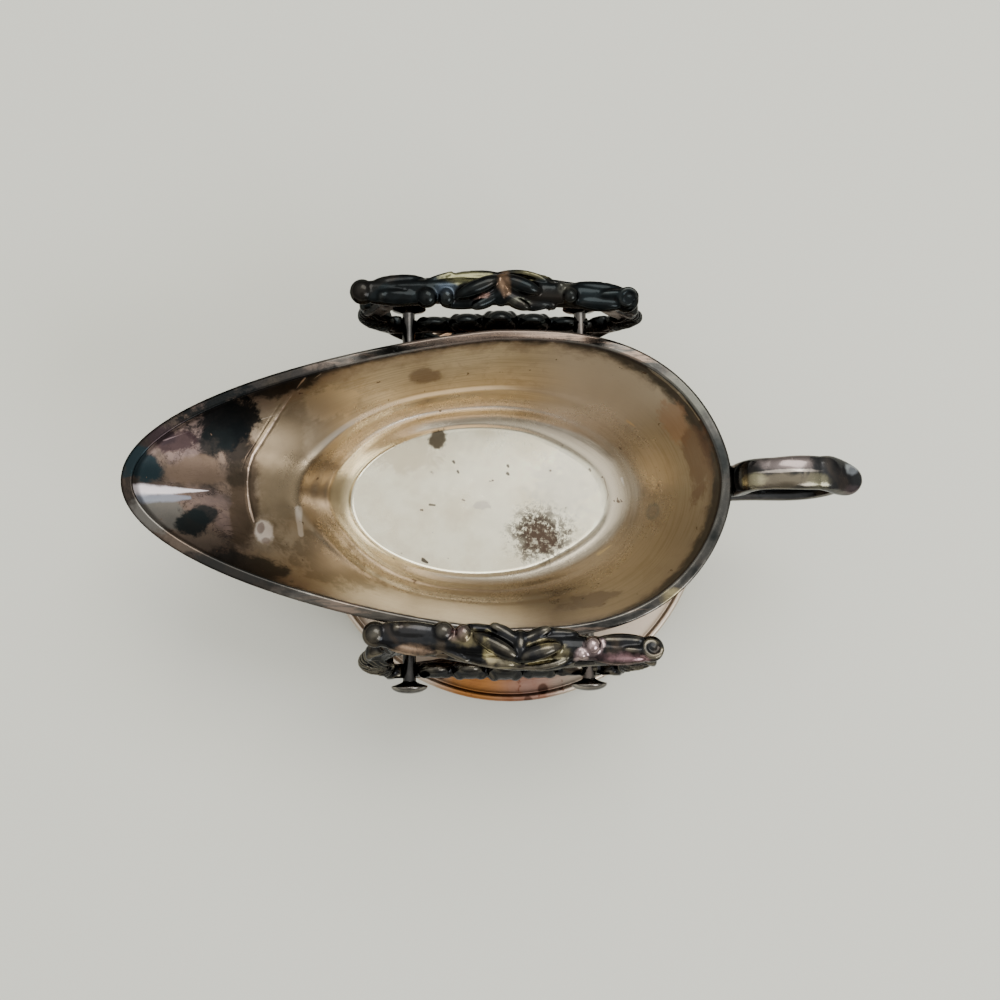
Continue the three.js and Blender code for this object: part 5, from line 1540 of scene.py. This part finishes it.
def dish_finish():
    f = Finish("copper_worn_plate")
    axes = f.add("ShaderNodeSeparateXYZ", {"Vector": f.place})
    x = f.math("ABSOLUTE", f.math("DIVIDE", axes.outputs["X"], MM))
    clouds = f.noise(46, 5, 0.6, warp=0.6)
    from_middle = f.add("ShaderNodeCombineXYZ", {
        "X": f.math("SUBTRACT", axes.outputs["X"], DISH_SHIFT * MM), "Y": axes.outputs["Y"]}).outputs[0]
    spun = f.vector("LENGTH", from_middle, None, 1)
    rings = f.add("ShaderNodeTexNoise", {"W": f.times(spun, 2600), "Scale": 1.0, "Detail": 3},
                  noise_dimensions="1D").outputs["Fac"]
    ends = f.ramp(f.plus(x, f.scaled(clouds, 16, -8)), 14, 30)
    along = f.plus(f.math("DIVIDE", axes.outputs["X"], MM), f.scaled(clouds, 24, -12))
    copper = f.mix(f.ramp(along, -8, 14), (168, 114, 64), (160, 126, 112))
    copper = f.layer(copper, (136, 84, 54), f.ramp(f.noise(90, 4, 0.6, at=(1, 2, 0)), 0.5, 0.7), 0.6)
    colour = f.mix(ends, copper, (206, 190, 172))
    spots = f.math("MAXIMUM", f.patch((9.6, -71.4, 10), (1.6, 1.5, 3), 0.3),
                   f.patch((-21.5, -62.6, 10), (1.2, 1.1, 3), 0.3))
    spots = f.math("MAXIMUM", f.patch((15.1, -67.6, 10), (1.9, 1.9, 3), 0.2), spots)
    colour = f.layer(colour, (84, 58, 48), spots, 0.85)
    colour = f.layer(colour, (112, 66, 50), f.ramp(f.noise(210, 3, 0.6), 0.64, 0.68), 0.7)
    colour = f.mix(f.ramp(spun, 0.052, 0.046), colour, (170, 150, 132))
    rough = f.scaled(clouds, 0.16, 0.26)
    return f.finish(colour, rough, rings, 0.12, 0.0002)


dish_plate = dish_finish()
dish_rings = [ring + [DISH_SHIFT, 0, 0] for ring in lathe(dish_profile(), DISH_SIDES)]
dish = new_piece("dish", *skin(dish_rings), dish_plate)
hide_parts("stand_dish")
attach(dish, "stand")


def circle(radius, sides):
    turn = np.linspace(0, 2 * math.pi, sides, endpoint=False)
    return [(radius * math.cos(a), radius * math.sin(a)) for a in turn]


round_section = [(x, y, 0) for x, y in circle(WIRE_RADIUS, 24)]
wire_round = circle(BRIM_OUTER + SOLDER_GAP + WIRE_RADIUS, DISH_SIDES)
wire_path = [(DISH_SHIFT + x, y, BRIM_TOP) for x, y in wire_round]
dish_wire = wire("dish_wire", wire_path, round_section, dish_plate)
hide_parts("dish_rim_wire")
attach(dish_wire, "stand")
for made in (dish, dish_wire):
    print(made.name, "measures", [round(v / MM, 1) for v in made.dimensions])

# %% [markdown]
# ## Table and light
# The table is plain and pale. A large soft lamp stands for the window beyond the far frame, and a
# weaker one for a window at the near right. Metal shows what it reflects, so the room gets paler
# overhead, greyer low down, and darker where the viewer stands.


# %% Table and light
def table_finish():
    f = Finish("pale_table", metallic=0.0)
    f.shader.inputs["Specular IOR Level"].default_value = 0.2
    return f.finish((228, 228, 217), 0.7, f.noise(30, 3, 0.5), 0.02, 0.0005)


def soft_lamp(name, place, aim, size, watts, colour=(1, 1, 1)):
    data = bpy.data.lights.new(name, "AREA")
    data.shape, data.size, data.size_y = "RECTANGLE", *size
    data.energy, data.color = watts, colour
    away = Vector(place) - Vector(aim)
    lamp = add_object(name, data)
    lamp.matrix_world = Matrix.Translation(place) @ away.to_track_quat("Z", "Y").to_matrix().to_4x4()


ROOM_STRENGTH = 1.5


def room_light():
    world = bpy.data.worlds.new("pale_room")
    bpy.context.scene.world = world
    world.use_nodes = True
    n = Nodes(world.node_tree)
    way = n.add("ShaderNodeTexCoord").outputs["Generated"]

    def facing(direction, levels):
        """Colours by how nearly a direction is faced: 0 is away from it, 1 towards it."""
        dot = n.vector("DOT_PRODUCT", way, Vector(direction).normalized(), 1)
        ramp = n.add("ShaderNodeValToRGB", {0: n.math("MULTIPLY_ADD", dot, 0.5, 0.5)})
        ramp.color_ramp.interpolation = "EASE"
        while len(ramp.color_ramp.elements) < len(levels):
            ramp.color_ramp.elements.new(0.5)
        for element, (position, level) in zip(ramp.color_ramp.elements, levels):
            element.position, element.color = position, (*level, 1)
        return ramp.outputs[0]

    def times(a, b):
        return n.add("ShaderNodeMix", {0: 1, 6: a, 7: b}, data_type="RGBA", blend_type="MULTIPLY").outputs[2]

    sky = facing((0, 0, 1), [(0.5, (0.30, 0.29, 0.28)), (0.7, (0.48, 0.48, 0.46)), (1.0, (1.0, 1.0, 0.97))])
    side = facing((0.15, 1, 0), [(0.0, (0.80, 0.79, 0.78)), (0.45, (0.88, 0.88, 0.88)), (1.0, (1.0, 1.0, 1.0))])
    viewer = facing((0, -0.62, 0.78), [(0.0, (1, 1, 1)), (0.95, (1, 1, 1)), (1.0, (0.55, 0.54, 0.53))])
    back = n.tree.nodes["Background"]
    n.put(back.inputs["Color"], times(times(sky, side), viewer))
    n.put(back.inputs["Strength"], ROOM_STRENGTH)


TABLE_HALF = 3
corners = [(-TABLE_HALF, -TABLE_HALF, 0), (TABLE_HALF, -TABLE_HALF, 0), (TABLE_HALF, TABLE_HALF, 0),
           (-TABLE_HALF, TABLE_HALF, 0)]
table_mesh = bpy.data.meshes.new("table")
table_mesh.from_pydata(corners, [], [(0, 1, 2, 3)])
table_mesh.materials.append(table_finish())
table = add_object("table", table_mesh)
room_light()
soft_lamp("window", (0.35, 0.75, 1.4), (0, 0, 0.03), (1.1, 0.8), 13, (1.0, 0.985, 0.94))
soft_lamp("side_window", (0.9, -0.85, 1.05), (0, -0.05, 0.03), (0.7, 0.6), 9, (0.97, 0.98, 1.0))
